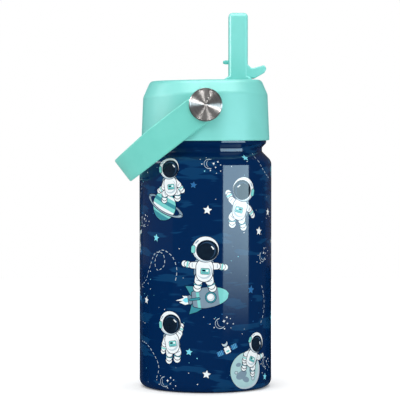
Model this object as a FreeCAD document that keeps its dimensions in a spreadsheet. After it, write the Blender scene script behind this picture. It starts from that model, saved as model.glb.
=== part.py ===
"""Kids' insulated water bottle with a screw lid, a flip-up drinking spout and a carry strap.

Frame: millimetres, +Z up, origin at the centre of the foot ring that the bottle stands on.
The spout stands on the +X side of the lid and folds towards -X, over the lid's centre.
The strap hangs on the -X side and turns about a line parallel to Y through both buttons.
"""
import FreeCAD
import Part
import math
import os
import Sketcher

Vector = FreeCAD.Vector
Rotation = FreeCAD.Rotation

# ---------------------------------------------------------------- driving dimensions, mm
SIZES = {
    # steel bottle
    "body_radius": 36.5,
    "body_height": 124.8,       # foot to the start of the shoulder
    "foot_round": 4.5,
    "foot_ring_width": 2.0,
    "shell_wall": 0.6,
    "vacuum_gap": 2.5,
    "shoulder_step": 5.2,       # how far the neck is set in; the shoulder slopes at 45 degrees
    "shoulder_round": 5.0,
    "neck_bend_round": 1.0,
    "neck_height": 2.3,
    "neck_vacuum_gap": 1.1,
    "waist_vacuum_drop": 1.8,   # how much lower the inner shoulder starts, past the gap
    "rim_flare": 2.3,
    "lip_height": 1.55,
    "base_recess": 3.2,
    "base_weld_gap": 0.1,
    "base_cover_gap": 0.3,
    "base_cover_depth": 1.6,
    "base_cover_round": 0.8,
    "evacuation_radius": 1.2,
    "glass_bead_radius": 3.0,
    "glass_bead_height": 0.7,
    "glass_bead_round": 0.5,
    "inner_floor": 8.0,
    "inner_floor_round": 6.0,
    "getter_radius": 6.0,
    "getter_height": 1.4,
    "getter_offset": 14.0,
    # screw thread between the neck and the lid's plug
    "thread_lead": 4.0,
    "thread_turns": 1.25,
    "thread_flank_gap": 0.35,
    "thread_ridge_foot": 1.5,
    "thread_ridge_crest": 0.7,
    "neck_ridge_height": 1.2,
    "neck_ridge_below_mouth": 3.6,   # mouth to the top of the neck's ridge
    "ridge_root_bite": 0.4,     # how far a ridge's root is sunk in its barrel
    "plug_gap": 1.6,            # neck bore to the plug's barrel
    "plug_ridge_height": 1.25,
    # lid
    "lid_height": 33.0,
    "lid_taper": 1.4,           # radius lost from the lid's foot to its top
    "lid_wall": 2.2,
    "skirt_wall": 1.4,
    "skirt_gap": 0.4,
    "skirt_overlap": 0.55,      # how far the skirt hangs below the mouth
    "lid_chamfer_slope": 0.436,
    "lid_chamfer_set_in": 4.8,  # lid's foot radius to the chamfer's top radius
    "lid_side_stretch": 0.6,
    "lid_top_tilt": 0.8,        # degrees, higher behind the spout
    "lid_top_round": 3.0,
    "lid_waist_round": 4.0,
    "lid_foot_round": 0.7,
    "lid_cap_shift": 0.2,
    "lid_waist_drop": 9.9,      # lid's top to the waist of its cavity
    "lid_foot_thicker": 0.8,    # extra wall just above the plug's flange
    "lid_roof_thicker": 0.6,
    "lid_roof_round": 1.5,
    "gasket_thickness": 1.3,
    "gasket_play": 0.1,
    "gasket_inner_gap": 0.3,
    "gasket_outer_gap": 0.2,
    "gasket_round": 0.3,
    "plug_flange": 2.0,
    "plug_flange_gap": 0.1,
    "plug_depth": 10.25,
    "plug_wall": 2.4,
    "plug_floor": 2.0,
    "plug_round": 0.8,
    "plug_neck_gap": 0.2,
    "plug_neck_start": 1.0,     # mouth down to where the plug widens
    # flip spout
    "spout_offset": 18.0,
    "spout_depth": 10.6,        # along X when up
    "spout_width": 14.0,        # along Y
    "spout_height": 45.2,       # hinge to tip
    "spout_edge_round": 1.8,
    "spout_tip_round": 2.2,
    "spout_bore_radius": 2.8,
    "spout_mouth_bevel": 0.8,
    "hub_radius": 11.7,
    "hub_round": 0.8,
    "hinge_below_top": 8.2,
    "hub_gap": 0.5,
    "hub_side_gap": 0.4,
    "cheek_wall": 3.4,
    "hinge_pin_radius": 1.75,
    "hinge_pin_play": 0.06,
    "hinge_pin_bite": 3.0,
    "hinge_pin_end_wall": 0.6,  # cheek left beyond the pin's end
    "hinge_bore_end_play": 0.3,
    "channel_floor_drop": 6.0,  # hinge to the channel's floor
    "channel_tip_gap": 0.8,
    "channel_floor_wall": 2.0,
    "tab_reach": 15.6,          # hinge line to the thumb tab's tip
    "tab_foot": 9.3,            # heights of the tab's outline above the hinge line
    "tab_foot_reach": 9.0,
    "tab_low_lip": 12.3,
    "tab_tip": 14.5,
    "tab_high_lip": 16.6,
    "tab_dip": 14.7,
    "tab_dip_reach": 2.2,
    "tab_top": 17.5,
    "tab_lip_set_in": 1.2,
    "tab_dip_round": 2.0,
    "tab_lip_round": 1.0,
    "tab_side_gap": 0.6,        # how far the tab is set in from the spout's sides
    "tab_side_round": 0.8,
    "vent_plug_height": 18.2,   # hinge to the vent plug, along the spout
    "vent_plug_reach": 3.0,
    "vent_plug_radius": 1.1,
    "vent_plug_root": 2.0,
    "vent_plug_tip_set_in": 0.35,
    "vent_plug_tip_round": 0.3,
    "vent_hole_play": 0.25,
    "vent_hole_flare": 1.5,
    # straw line
    "straw_radius": 3.55,
    "straw_wall": 0.75,
    "straw_floor_gap": 3.4,
    "straw_grip": 14.0,         # length of straw held in the socket
    "straw_foot_slant": 40.0,   # degrees
    "socket_wall": 1.6,
    "socket_below_plug": 5.0,
    "socket_flange": 2.0,
    "socket_foot_round": 0.4,
    "seal_radius": 6.5,
    "seal_height": 8.0,
    "seal_seat_drop": 1.0,      # seal's foot below the hub recess's floor
    "seal_hub_gap": 0.25,
    "seal_seat_lip": 0.4,       # how far the socket's flange reaches past the seal
    "vent_valve_radius": 3.0,
    "vent_valve_length": 3.5,   # below the plug's floor
    "vent_valve_beak": 0.8,
    "vent_valve_beak_round": 0.3,
    "vent_valve_wall": 1.8,
    "vent_valve_web": 1.9,
    "vent_valve_collar": 0.5,
    "vent_valve_lip": 1.2,
    "vent_valve_lip_height": 1.0,
    "vent_valve_lip_round": 0.4,
    # carry strap and its two pivots
    "pivot_height": 19.3,       # lid's foot to the pivot
    "strap_width": 16.5,
    "strap_thickness": 2.6,
    "strap_end_beyond_side": 20.32,  # how much further the strap reaches than its half width
    "strap_corner_radius": 26.0,
    "strap_side_gap": 0.7,      # lid wall at the pivot to the strap
    "strap_side_corner_gap": 0.05,   # keeps the rounded end a little short of a full half circle
    "strap_bend_share": 0.55,   # share of the reach at which the upper edge starts down
    "strap_bend_round": 40.0,
    "strap_end_round": 1.5,
    "strap_hang_angle": 37.5,   # degrees below level
    "strap_end_drop": 2.0,      # how much the upper edge comes down at the far end
    "bush_radius": 4.0,
    "bush_play": 0.06,
    "bush_end_play": 0.15,
    "button_radius": 8.96,
    "button_thickness": 2.4,
    "button_dome": 0.5,
    "button_back_bevel": 0.3,
    "button_rim": 0.4,          # width of the bright rim's slope
    "button_rim_rise": 0.15,
    "button_rim_set_in": 0.6,
    "screw_radius": 2.0,
    "screw_head_radius": 4.4,
    "screw_head_height": 1.2,
    "screw_length": 11.0,
    "boss_wall": 2.6,
    "post_set_in": 1.0,
    "pad_lip": 2.2,             # pad's radius past the bush
    "pad_root": 4.0,
}

doc = FreeCAD.newDocument("KidsBottle")
sheet = doc.addObject("Spreadsheet::Sheet", "Dims")


class Size:
    """A length with the sheet formula that it comes from."""

    def __init__(self, value, text):
        self.value = value
        self.text = text

    @staticmethod
    def of(other):
        return other if isinstance(other, Size) else Size(float(other), repr(float(other)))

    def __add__(self, other):
        other = Size.of(other)
        return Size(self.value + other.value, f"({self.text} + {other.text})")

    def __sub__(self, other):
        other = Size.of(other)
        return Size(self.value - other.value, f"({self.text} - {other.text})")

    def __mul__(self, other):
        other = Size.of(other)
        return Size(self.value * other.value, f"({self.text} * {other.text})")

    def __truediv__(self, other):
        other = Size.of(other)
        return Size(self.value / other.value, f"({self.text} / {other.text})")

    def __neg__(self):
        return Size(-self.value, f"(0 - {self.text})")

    def __radd__(self, other):
        return Size.of(other) + self

    def __rsub__(self, other):
        return Size.of(other) - self

    def __rmul__(self, other):
        return Size.of(other) * self


class Dimensions:
    """The sheet's sizes, each as an attribute that carries its own formula."""

    def __init__(self, sizes):
        for row, (alias, value) in enumerate(sizes.items(), start=1):
            sheet.set(f"A{row}", alias)
            sheet.set(f"B{row}", str(value))
            sheet.setAlias(f"B{row}", alias)
            setattr(self, alias, Size(float(value), f"Dims.{alias}"))


dim = Dimensions(SIZES)
doc.recompute()

# ---------------------------------------------------------------- places worked out from them
SPARE = 2.0                                 # how far a cutting tool runs past what it cuts
MITRE_45 = math.tan(math.radians(22.5))     # corner shift of a 45 degree bend, per unit of wall

neck_radius = dim.body_radius - dim.shoulder_step
rim_radius = neck_radius + dim.rim_flare
mouth_radius = neck_radius - dim.neck_vacuum_gap - 2 * dim.shell_wall
inner_radius = dim.body_radius - dim.shell_wall - dim.vacuum_gap
foot_ring_inner = dim.body_radius - dim.foot_round - dim.foot_ring_width

neck_z = dim.body_height + dim.shoulder_step
flare_z = neck_z + dim.neck_height
flare_top_z = flare_z + dim.rim_flare
weld_z = flare_top_z + dim.lip_height
mouth_z = weld_z + dim.shell_wall

skirt_inner = rim_radius + dim.skirt_gap
lid_radius = skirt_inner + dim.skirt_wall
lid_z = mouth_z - dim.skirt_overlap
lid_top_z = lid_z + dim.lid_height
gasket_z = mouth_z + dim.gasket_play
flange_z = gasket_z + dim.gasket_thickness + dim.gasket_play
ledge_z = flange_z + dim.plug_flange
plug_radius = mouth_radius - dim.plug_gap
plug_z = mouth_z - dim.plug_depth

hinge_z = lid_top_z - dim.hinge_below_top
channel_half = dim.spout_width / 2 + dim.hub_side_gap
cheek_half = channel_half + dim.cheek_wall
recess_radius = dim.hub_radius + dim.hub_gap
channel_floor_z = hinge_z - dim.channel_floor_drop
spout_tip_z = hinge_z + dim.spout_height
recess_floor_z = hinge_z - recess_radius - dim.channel_floor_wall

pivot_z = lid_z + dim.pivot_height
lid_radius_at_pivot = lid_radius - dim.lid_taper * dim.pivot_height / dim.lid_height
strap_inner_half = lid_radius_at_pivot + dim.strap_side_gap
strap_outer_half = strap_inner_half + dim.strap_thickness
button_inner_half = strap_outer_half + dim.bush_end_play
pad_half = strap_inner_half - dim.bush_end_play
strap_reach = strap_outer_half + dim.strap_end_beyond_side      # pivot to the far end's outside


# ---------------------------------------------------------------- small building helpers
def bind(thing, path, size):
    """Tie one property to its formula in the sheet."""
    thing.setExpression(path, Size.of(size).text)


def place(thing, x=0.0, y=0.0, z=0.0, rotation=None):
    """Put an object at a place that follows the sheet."""
    spot = [Size.of(value) for value in (x, y, z)]
    base = Vector(*[size.value for size in spot])
    thing.Placement = FreeCAD.Placement(base, rotation or Rotation())
    for axis, size in zip("xyz", spot):
        if "Dims" in size.text:
            bind(thing, f"Placement.Base.{axis}", size)
    return thing


def origin_plane(body, role):
    return next(item for item in body.Origin.OriginFeatures if item.Role == role)


def new_body(label):
    body = doc.addObject("PartDesign::Body", label)
    body.Label = label
    return body


def rounded_corner(before, corner, after, radius):
    """Arc start, arc end and centre of a corner that is rounded to a radius."""
    into = (before - corner).normalize()
    out = (after - corner).normalize()
    half = into.getAngle(out) / 2
    start = corner + into * (radius / math.tan(half))
    end = corner + out * (radius / math.tan(half))
    centre = corner + (into + out).normalize() * (radius / math.sin(half))
    return start, end, centre


def outline(body, name, role, corners, offset=None):
    """Closed sketch through corners (x, y) or (x, y, radius), each tied to the sheet."""
    sketch = body.newObject("Sketcher::SketchObject", name)
    sketch.AttachmentSupport = [(origin_plane(body, role), "")]
    sketch.MapMode = "FlatFace"
    if offset is not None:
        bind(sketch, "AttachmentOffset.Base.z", offset)
    sizes = [[Size.of(value) for value in corner] for corner in corners]
    points = [Vector(corner[0].value, corner[1].value, 0) for corner in sizes]
    count = len(points)
    starts = list(points)
    ends = list(points)
    arcs = {}
    for index, corner in enumerate(sizes):
        if len(corner) == 3:
            start, end, centre = rounded_corner(
                points[index - 1], points[index], points[(index + 1) % count], corner[2].value)
            ends[index], starts[index], arcs[index] = start, end, centre
    lines = [
        sketch.addGeometry(Part.LineSegment(starts[index], ends[(index + 1) % count]), False)
        for index in range(count)]
    for index, corner in enumerate(sizes):
        into, out = lines[index - 1], lines[index]
        if index in arcs:
            tie_rounded_corner(sketch, into, out, points[index], arcs[index],
                               ends[index], starts[index], corner)
        else:
            sketch.addConstraint(Sketcher.Constraint("Coincident", into, 2, out, 1))
            tie_point(sketch, out, 1, corner)
    return sketch


def tie_point(sketch, geometry, which, corner):
    """Hold a sketch point at its distances from the sketch's origin."""
    for kind, size in zip(("DistanceX", "DistanceY"), corner):
        index = sketch.addConstraint(
            Sketcher.Constraint(kind, -1, 1, geometry, which, size.value))
        bind(sketch, f"Constraints[{index}]", size)


def tie_rounded_corner(sketch, into, out, point, centre, start, end, corner):
    """Add a corner's arc, tangent to both lines, about a corner point that stays put."""
    turn = (start - centre).cross(end - centre).z
    first, last = (start, end) if turn > 0 else (end, start)
    angles = [math.atan2(spot.y - centre.y, spot.x - centre.x) for spot in (first, last)]
    circle = Part.Circle(centre, Vector(0, 0, 1), corner[2].value)
    arc = sketch.addGeometry(Part.ArcOfCircle(circle, *angles), False)
    start_end, finish_end = (1, 2) if turn > 0 else (2, 1)
    sketch.addConstraint(Sketcher.Constraint("Tangent", into, 2, arc, start_end))
    sketch.addConstraint(Sketcher.Constraint("Tangent", arc, finish_end, out, 1))
    radius = sketch.addConstraint(Sketcher.Constraint("Radius", arc, corner[2].value))
    bind(sketch, f"Constraints[{radius}]", corner[2])
    mark = sketch.addGeometry(Part.Point(point), True)
    sketch.addConstraint(Sketcher.Constraint("PointOnObject", mark, 1, into))
    sketch.addConstraint(Sketcher.Constraint("PointOnObject", mark, 1, out))
    tie_point(sketch, mark, 1, corner)


def turned(label, corners):
    """Body of revolution about Z from a closed outline of (radius, height) corners."""
    body = new_body(label)
    sketch = outline(body, f"{label}_outline", "XZ_Plane", corners)
    turn = body.newObject("PartDesign::Revolution", f"{label}_turned")
    turn.Profile = sketch
    turn.ReferenceAxis = (sketch, ["V_Axis"])
    turn.Angle = 360
    return body


def turned_about_y(label, corners, x, z):
    """Body of revolution about a line along Y from a closed outline of (y, radius) corners."""
    body = new_body(label)
    sketch = outline(body, f"{label}_outline", "XY_Plane",
                     [(radius, along) for along, radius in corners])
    turn = body.newObject("PartDesign::Revolution", f"{label}_turned")
    turn.Profile = sketch
    turn.ReferenceAxis = (sketch, ["V_Axis"])
    turn.Angle = 360
    return place(body, x, 0, z)


def padded(label, role, corners, half_length):
    """Body made by padding a closed outline the same distance to both sides of its plane."""
    body = new_body(label)
    sketch = outline(body, f"{label}_outline", role, corners)
    add_pad(body, sketch, f"{label}_pad", 2 * half_length)
    return body


def add_pad(body, sketch, name, length, midplane=True, reverse=False):
    pad = body.newObject("PartDesign::Pad", name)
    pad.Profile = sketch
    bind(pad, "Length", length)
    pad.Midplane = midplane
    pad.Reversed = reverse
    return pad


def cylinder(name, radius, length, x=0.0, y=0.0, z=0.0, along="Z"):
    """Cylinder that starts at (x, y, z) and runs along +Z, +Y or +X."""
    solid = doc.addObject("Part::Cylinder", name)
    bind(solid, "Radius", radius)
    bind(solid, "Height", length)
    turns = {"Z": Rotation(), "Y": Rotation(Vector(1, 0, 0), -90),
             "X": Rotation(Vector(0, 1, 0), 90)}
    return place(solid, x, y, z, turns[along])


def cone(name, radius_1, radius_2, length, x=0.0, y=0.0, z=0.0):
    solid = doc.addObject("Part::Cone", name)
    bind(solid, "Radius1", radius_1)
    bind(solid, "Radius2", radius_2)
    bind(solid, "Height", length)
    return place(solid, x, y, z)


def box(name, low, high):
    """Box between two corners."""
    solid = doc.addObject("Part::Box", name)
    for side, start, end in zip(("Length", "Width", "Height"), low, high):
        bind(solid, side, Size.of(end) - start)
    return place(solid, *low)


def cut(label, base, *tools):
    tool = tools[0] if len(tools) == 1 else fuse(f"{label}_cutter", *tools)
    result = doc.addObject("Part::Cut", label)
    result.Label = label
    result.Base = base
    result.Tool = tool
    return result


def fuse(label, *shapes):
    result = doc.addObject("Part::MultiFuse", label)
    result.Label = label
    result.Shapes = list(shapes)
    return result


def common(label, *shapes):
    result = doc.addObject("Part::MultiCommon", label)
    result.Label = label
    result.Shapes = list(shapes)
    return result


def add_thread(body, corners, name):
    """Add one helical ridge, right-handed, from a closed (radius, height) outline."""
    sketch = outline(body, f"{name}_outline", "XZ_Plane", corners)
    ridge = body.newObject("PartDesign::AdditiveHelix", name)
    ridge.Profile = sketch
    ridge.ReferenceAxis = (sketch, ["V_Axis"])
    ridge.Mode = "pitch-turns-angle"
    bind(ridge, "Pitch", dim.thread_lead)
    bind(ridge, "Turns", dim.thread_turns)
    return ridge


def rounded_edges(label, base, chosen, radius):
    """Part::Fillet on the edges of a finished shape that a test picks."""
    doc.recompute()
    edges = [index for index, edge in enumerate(base.Shape.Edges, start=1) if chosen(edge)]
    if not edges:
        raise RuntimeError(f"{label}: no edge to round")
    result = doc.addObject("Part::Fillet", label)
    result.Label = label
    result.Base = base
    result.Edges = [(index, radius.value, radius.value) for index in edges]
    doc.recompute()
    return result


# ---------------------------------------------------------------- steel bottle
def make_outer_shell():
    """Drawn outer can: foot ring, straight wall, sloped shoulder, short neck, flared lip."""
    wall = dim.shell_wall
    mitre = MITRE_45 * wall
    corner_out = dim.shoulder_round
    corner_in = dim.shoulder_round - wall
    bend = dim.neck_bend_round
    return turned("outer_shell", [
        (foot_ring_inner, 0),
        (dim.body_radius, 0, dim.foot_round),
        (dim.body_radius, dim.body_height, corner_out),
        (neck_radius, neck_z, bend),
        (neck_radius, flare_z, bend),
        (rim_radius, flare_top_z, bend + wall),
        (rim_radius, weld_z),
        (rim_radius - wall, weld_z),
        (rim_radius - wall, flare_top_z + mitre, bend),
        (neck_radius - wall, flare_z + mitre, bend + wall),
        (neck_radius - wall, neck_z - mitre, bend + wall),
        (dim.body_radius - wall, dim.body_height - mitre, corner_in),
        (dim.body_radius - wall, wall, dim.foot_round - wall),
        (foot_ring_inner, wall),
    ])


def make_inner_vessel():
    """Drawn inner can with a flange over the lip and one rolled thread ridge in the neck."""
    wall = dim.shell_wall
    mitre = MITRE_45 * wall
    neck_outer = mouth_radius + wall
    step = inner_radius - neck_outer
    bend = dim.neck_bend_round
    waist_z = dim.body_height - dim.vacuum_gap - dim.waist_vacuum_drop
    lip_round = wall * 0.8      # most of the wall, so that the mouth feels round
    body = turned("inner_vessel", [
        (0, dim.inner_floor),
        (inner_radius, dim.inner_floor, dim.inner_floor_round),
        (inner_radius, waist_z, dim.shoulder_round),
        (neck_outer, waist_z + step, bend),
        (neck_outer, weld_z),
        (rim_radius - wall / 2, weld_z),
        (rim_radius - wall / 2, mouth_z),
        (mouth_radius, mouth_z, lip_round),
        (mouth_radius, waist_z + step - mitre, bend + wall),
        (inner_radius - wall, waist_z - mitre, dim.shoulder_round - wall),
        (inner_radius - wall, dim.inner_floor + wall, dim.inner_floor_round - wall),
        (0, dim.inner_floor + wall),
    ])
    foot, crest = dim.thread_ridge_foot / 2, dim.thread_ridge_crest / 2
    root = mouth_radius + wall / 2
    tip = mouth_radius - dim.neck_ridge_height
    middle = neck_ridge_z()
    add_thread(body, [
        (root, middle - foot),
        (root, middle + foot),
        (tip, middle + crest),
        (tip, middle - crest),
    ], "neck_ridge")
    return body


def neck_ridge_z():
    """Height of the middle of the neck's ridge where it starts."""
    return mouth_z - dim.thread_lead * dim.thread_turns - dim.neck_ridge_below_mouth


def make_outer_base():
    """Pressed base welded inside the foot ring, with the evacuation hole at its centre."""
    wall = dim.shell_wall
    top = dim.base_recess + wall
    foot = foot_ring_inner + dim.foot_ring_width - dim.base_weld_gap
    return turned("outer_base", [
        (dim.evacuation_radius, dim.base_recess),
        (foot_ring_inner, dim.base_recess),
        (foot_ring_inner, wall),
        (foot, wall),
        (foot, 2 * wall),
        (foot_ring_inner + wall, 2 * wall),
        (foot_ring_inner + wall, top),
        (dim.evacuation_radius, top),
    ])


def make_vacuum_seal():
    """Glass bead that closes the evacuation hole."""
    top = dim.base_recess + dim.shell_wall
    under = dim.base_recess - dim.glass_bead_height
    return turned("vacuum_seal", [
        (0, under),
        (dim.glass_bead_radius, under, dim.glass_bead_round),
        (dim.glass_bead_radius, dim.base_recess),
        (dim.evacuation_radius, dim.base_recess),
        (dim.evacuation_radius, top),
        (0, top),
    ])


def make_base_cover():
    """Dished plate that hides the bead; it stays clear above the foot ring."""
    wall = dim.shell_wall
    rim = foot_ring_inner - dim.base_cover_gap
    under = dim.base_recess - dim.base_cover_depth
    bend = dim.base_cover_round
    return turned("base_cover", [
        (0, under),
        (rim, under, bend),
        (rim, dim.base_recess),
        (rim - wall, dim.base_recess),
        (rim - wall, under + wall, bend / 2),
        (0, under + wall),
    ])


def make_getter():
    """Getter tablet spot-welded under the inner vessel's floor."""
    tablet = cylinder("getter", dim.getter_radius, dim.getter_height,
                      dim.getter_offset, 0, dim.inner_floor - dim.getter_height)
    tablet.Label = "getter"
    return tablet


# ---------------------------------------------------------------- lid
def make_lid_gasket():
    """Flat silicone ring between the mouth's flange and the plug's flange."""
    inner = mouth_radius + dim.gasket_inner_gap
    outer = rim_radius - dim.gasket_outer_gap
    top = gasket_z + dim.gasket_thickness
    return turned("lid_gasket", [
        (radius, height, dim.gasket_round)
        for radius, height in ((inner, gasket_z), (outer, gasket_z), (outer, top), (inner, top))])


def make_lid_core():
    """Screw plug: cup with the outer thread, a flange over the gasket and two holes in its floor."""
    barrel = plug_radius
    neck = mouth_radius - dim.plug_neck_gap
    inside = plug_radius - dim.plug_wall
    flange = skirt_inner - dim.plug_flange_gap
    body = turned("plug_blank", [
        (0, plug_z),
        (barrel, plug_z, dim.plug_round),
        (barrel, mouth_z - dim.plug_neck_start),
        (neck, mouth_z + dim.plug_neck_gap),
        (neck, flange_z),
        (flange, flange_z),
        (flange, ledge_z),
        (inside, ledge_z),
        (inside, plug_z + dim.plug_floor, dim.plug_round),
        (0, plug_z + dim.plug_floor),
    ])
    foot, crest = dim.thread_ridge_foot / 2, dim.thread_ridge_crest / 2
    root = barrel - dim.ridge_root_bite
    tip = barrel + dim.plug_ridge_height
    middle = neck_ridge_z() - dim.thread_ridge_foot - dim.thread_flank_gap
    add_thread(body, [
        (root, middle - foot),
        (root, middle + foot),
        (tip, middle + crest),
        (tip, middle - crest),
    ], "plug_ridge")
    through = dim.plug_floor + 2 * SPARE
    straw_hole = cylinder("straw_hole", socket_outer(), through,
                          dim.spout_offset, 0, plug_z - SPARE)
    valve_hole = cylinder("valve_hole", dim.vent_valve_radius, through,
                          valve_x(), 0, plug_z - SPARE)
    return cut("lid_core", body, straw_hole, valve_hole)


def socket_outer():
    return dim.straw_radius + dim.socket_wall


def valve_x():
    return -(plug_radius / 2)


def make_lid_blank():
    """Outside of the lid: tapered drum under a leaning, slightly oval chamfered cap."""
    drum = cone("lid_drum", lid_radius,
                lid_radius - dim.lid_taper * (dim.lid_height + SPARE) / dim.lid_height,
                dim.lid_height + SPARE, 0, 0, lid_z)
    cap_top = lid_radius - dim.lid_chamfer_set_in
    cap_foot = cap_top + dim.lid_chamfer_slope * dim.lid_height
    sections = []
    for name, radius, height, lean in (("lid_cap_foot", cap_foot, lid_z, 0.0),
                                       ("lid_cap_top", cap_top, lid_top_z, dim.lid_top_tilt.value)):
        oval = doc.addObject("Part::Ellipse", name)
        bind(oval, "MajorRadius", radius + dim.lid_side_stretch)
        bind(oval, "MinorRadius", radius)
        upright = Rotation(Vector(0, 1, 0), -lean).multiply(Rotation(Vector(0, 0, 1), 90))
        sections.append(place(oval, dim.lid_cap_shift, 0, height, upright))
    cap = doc.addObject("Part::Loft", "lid_cap")
    cap.Sections = sections
    cap.Solid = True
    cap.Ruled = True
    blank = common("lid_blank", drum, cap)
    doc.recompute()
    top, foot = lid_top_z.value, lid_z.value

    def at_top(edge):
        return edge.BoundBox.ZMin > top - 2 and edge.BoundBox.ZMax < top + 2

    def at_waist(edge):
        extent = edge.BoundBox
        return foot + 10 < extent.ZMin and extent.ZMax < top - 3 and extent.XLength > 10

    def at_foot(edge):
        return edge.BoundBox.ZMax < foot + 0.5 and edge.BoundBox.XLength > 10

    soft = rounded_edges("lid_waist_rounded", blank, at_waist, dim.lid_waist_round)
    soft = rounded_edges("lid_top_rounded", soft, at_top, dim.lid_top_round)
    return rounded_edges("lid_foot_rounded", soft, at_foot, dim.lid_foot_round)


def make_lid_shell():
    """Moulded lid: thin wall outside, channel for the folded spout, two pivot bosses."""
    blank = make_lid_blank()
    wall = dim.lid_wall
    roof = wall + dim.lid_roof_thicker
    cavity = turned("lid_cavity", [
        (0, ledge_z),
        (lid_radius - wall - dim.lid_foot_thicker + dim.skirt_gap / 2, ledge_z),
        (lid_radius - dim.lid_taper - wall, lid_top_z - dim.lid_waist_drop),
        (lid_radius - dim.lid_chamfer_set_in - roof, lid_top_z - roof, dim.lid_roof_round),
        (0, lid_top_z - roof),
    ])
    skirt = cylinder("lid_skirt_recess", skirt_inner, ledge_z - lid_z + SPARE, 0, 0,
                     lid_z - SPARE)
    tip_x = dim.spout_offset - dim.spout_height - dim.channel_tip_gap
    trough = box("lid_trough", (tip_x - dim.channel_floor_wall, -cheek_half,
                                channel_floor_z - dim.channel_floor_wall),
                 (dim.spout_offset, cheek_half, lid_top_z + SPARE))
    well = box("lid_well", (dim.spout_offset - recess_radius - dim.channel_floor_wall, -cheek_half,
                            recess_floor_z),
               (dim.spout_offset + recess_radius + dim.channel_floor_wall, cheek_half,
                lid_top_z + SPARE))
    inward = pad_half - dim.screw_length
    posts = [cylinder(f"lid_post_{side}", dim.screw_radius + dim.boss_wall,
                      dim.screw_length - dim.post_set_in, 0, start, pivot_z, "Y")
             for side, start in (("front", -(pad_half - dim.post_set_in)), ("rear", inward))]
    hollow = cut("lid_hollow", cavity, trough, well, *posts)
    pads = [cylinder(f"lid_pad_{side}", dim.bush_radius + dim.pad_lip,
                     pad_half - inward - dim.pad_root, 0, start, pivot_z, "Y")
            for side, start in (("front", -pad_half), ("rear", inward + dim.pad_root))]
    pads_outside = cut("lid_pads", fuse("lid_pad_pair", *pads), cavity)
    shell = cut("lid_shell_blank", fuse("lid_with_pads", blank, pads_outside), hollow, skirt)
    channel = box("channel_slot", (tip_x, -channel_half, channel_floor_z),
                  (dim.spout_offset, channel_half, lid_top_z + 2 * SPARE))
    recess = cylinder("channel_recess", recess_radius, 2 * channel_half,
                      dim.spout_offset, -channel_half, hinge_z, "Y")
    bore_half = pin_half() + dim.hinge_bore_end_play
    pin_bore = cylinder("hinge_bore", dim.hinge_pin_radius + dim.hinge_pin_play, 2 * bore_half,
                        dim.spout_offset, -bore_half, hinge_z, "Y")
    seal_hole = cylinder("seal_hole", dim.seal_radius, dim.seal_height + SPARE,
                         dim.spout_offset, 0, recess_floor_z - SPARE)
    vent_hole = cone("vent_hole", dim.vent_plug_radius + dim.vent_hole_play,
                     dim.vent_plug_radius + dim.vent_hole_flare,
                     dim.channel_floor_wall, vent_x(), 0,
                     channel_floor_z - dim.channel_floor_wall)
    screw_bore = cylinder("screw_bores", dim.screw_radius, 2 * (pad_half + SPARE),
                          0, -(pad_half + SPARE), pivot_z, "Y")
    reach = dim.screw_radius + SPARE
    middle = box("screw_bore_gap", (-reach, -inward, pivot_z - reach),
                 (reach, inward, pivot_z + reach))
    return cut("lid_shell", shell, channel, recess, pin_bore, seal_hole, vent_hole,
               cut("screw_bore_pair", screw_bore, middle))


def vent_x():
    """Where the vent plug comes down on the channel's floor."""
    return dim.spout_offset - dim.vent_plug_height


def pin_half():
    return cheek_half - dim.hinge_pin_end_wall


def make_spout_seal():
    """Silicone cup under the hub, hollowed to the hub's curve."""
    foot_z = recess_floor_z - dim.seal_seat_drop
    blank = cylinder("seal_blank", dim.seal_radius, dim.seal_height, dim.spout_offset, 0, foot_z)
    bore = cylinder("seal_bore", dim.spout_bore_radius, dim.seal_height + 2 * SPARE,
                    dim.spout_offset, 0, foot_z - SPARE)
    half = dim.seal_radius + SPARE
    hub = cylinder("seal_hub_space", dim.hub_radius + dim.seal_hub_gap, 2 * half,
                   dim.spout_offset, -half, hinge_z, "Y")
    return cut("spout_seal", blank, bore, hub)


def make_straw_socket():
    """Tube from the seal down through the plug's floor, which grips the straw."""
    top = recess_floor_z - dim.seal_seat_drop
    bottom = plug_z - dim.socket_below_plug
    flange = dim.seal_radius + dim.seal_seat_lip
    body = turned("straw_socket", [
        (dim.straw_radius, bottom),
        (socket_outer(), bottom, dim.socket_foot_round),
        (socket_outer(), top - dim.socket_flange),
        (flange, top - dim.socket_flange),
        (flange, top),
        (dim.spout_bore_radius, top),
        (dim.spout_bore_radius, straw_top()),
        (dim.straw_radius, straw_top()),
    ])
    return place(body, dim.spout_offset, 0, 0)


def straw_top():
    return plug_z - dim.socket_below_plug + dim.straw_grip


def make_straw():
    """Clear straw, its foot cut slanted so that it can't seal on the floor."""
    bottom = dim.inner_floor + dim.shell_wall + dim.straw_floor_gap
    length = straw_top() - bottom
    inside = dim.straw_radius - dim.straw_wall
    outer = cylinder("straw_outside", dim.straw_radius, length, dim.spout_offset, 0, bottom)
    inner = cylinder("straw_inside", inside, length + 2 * SPARE,
                     dim.spout_offset, 0, bottom - SPARE)
    slant = dim.straw_foot_slant.value
    side = 4 * dim.straw_radius
    wedge = doc.addObject("Part::Box", "straw_slant")
    bind(wedge, "Length", 3 * side)     # long enough to run right across under the slant
    bind(wedge, "Width", side)
    bind(wedge, "Height", side)
    place(wedge, dim.spout_offset - dim.straw_radius, -(side / 2),
          bottom - side / math.cos(math.radians(slant)), Rotation(Vector(0, 1, 0), -slant))
    return cut("straw", outer, inner, wedge)


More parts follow.
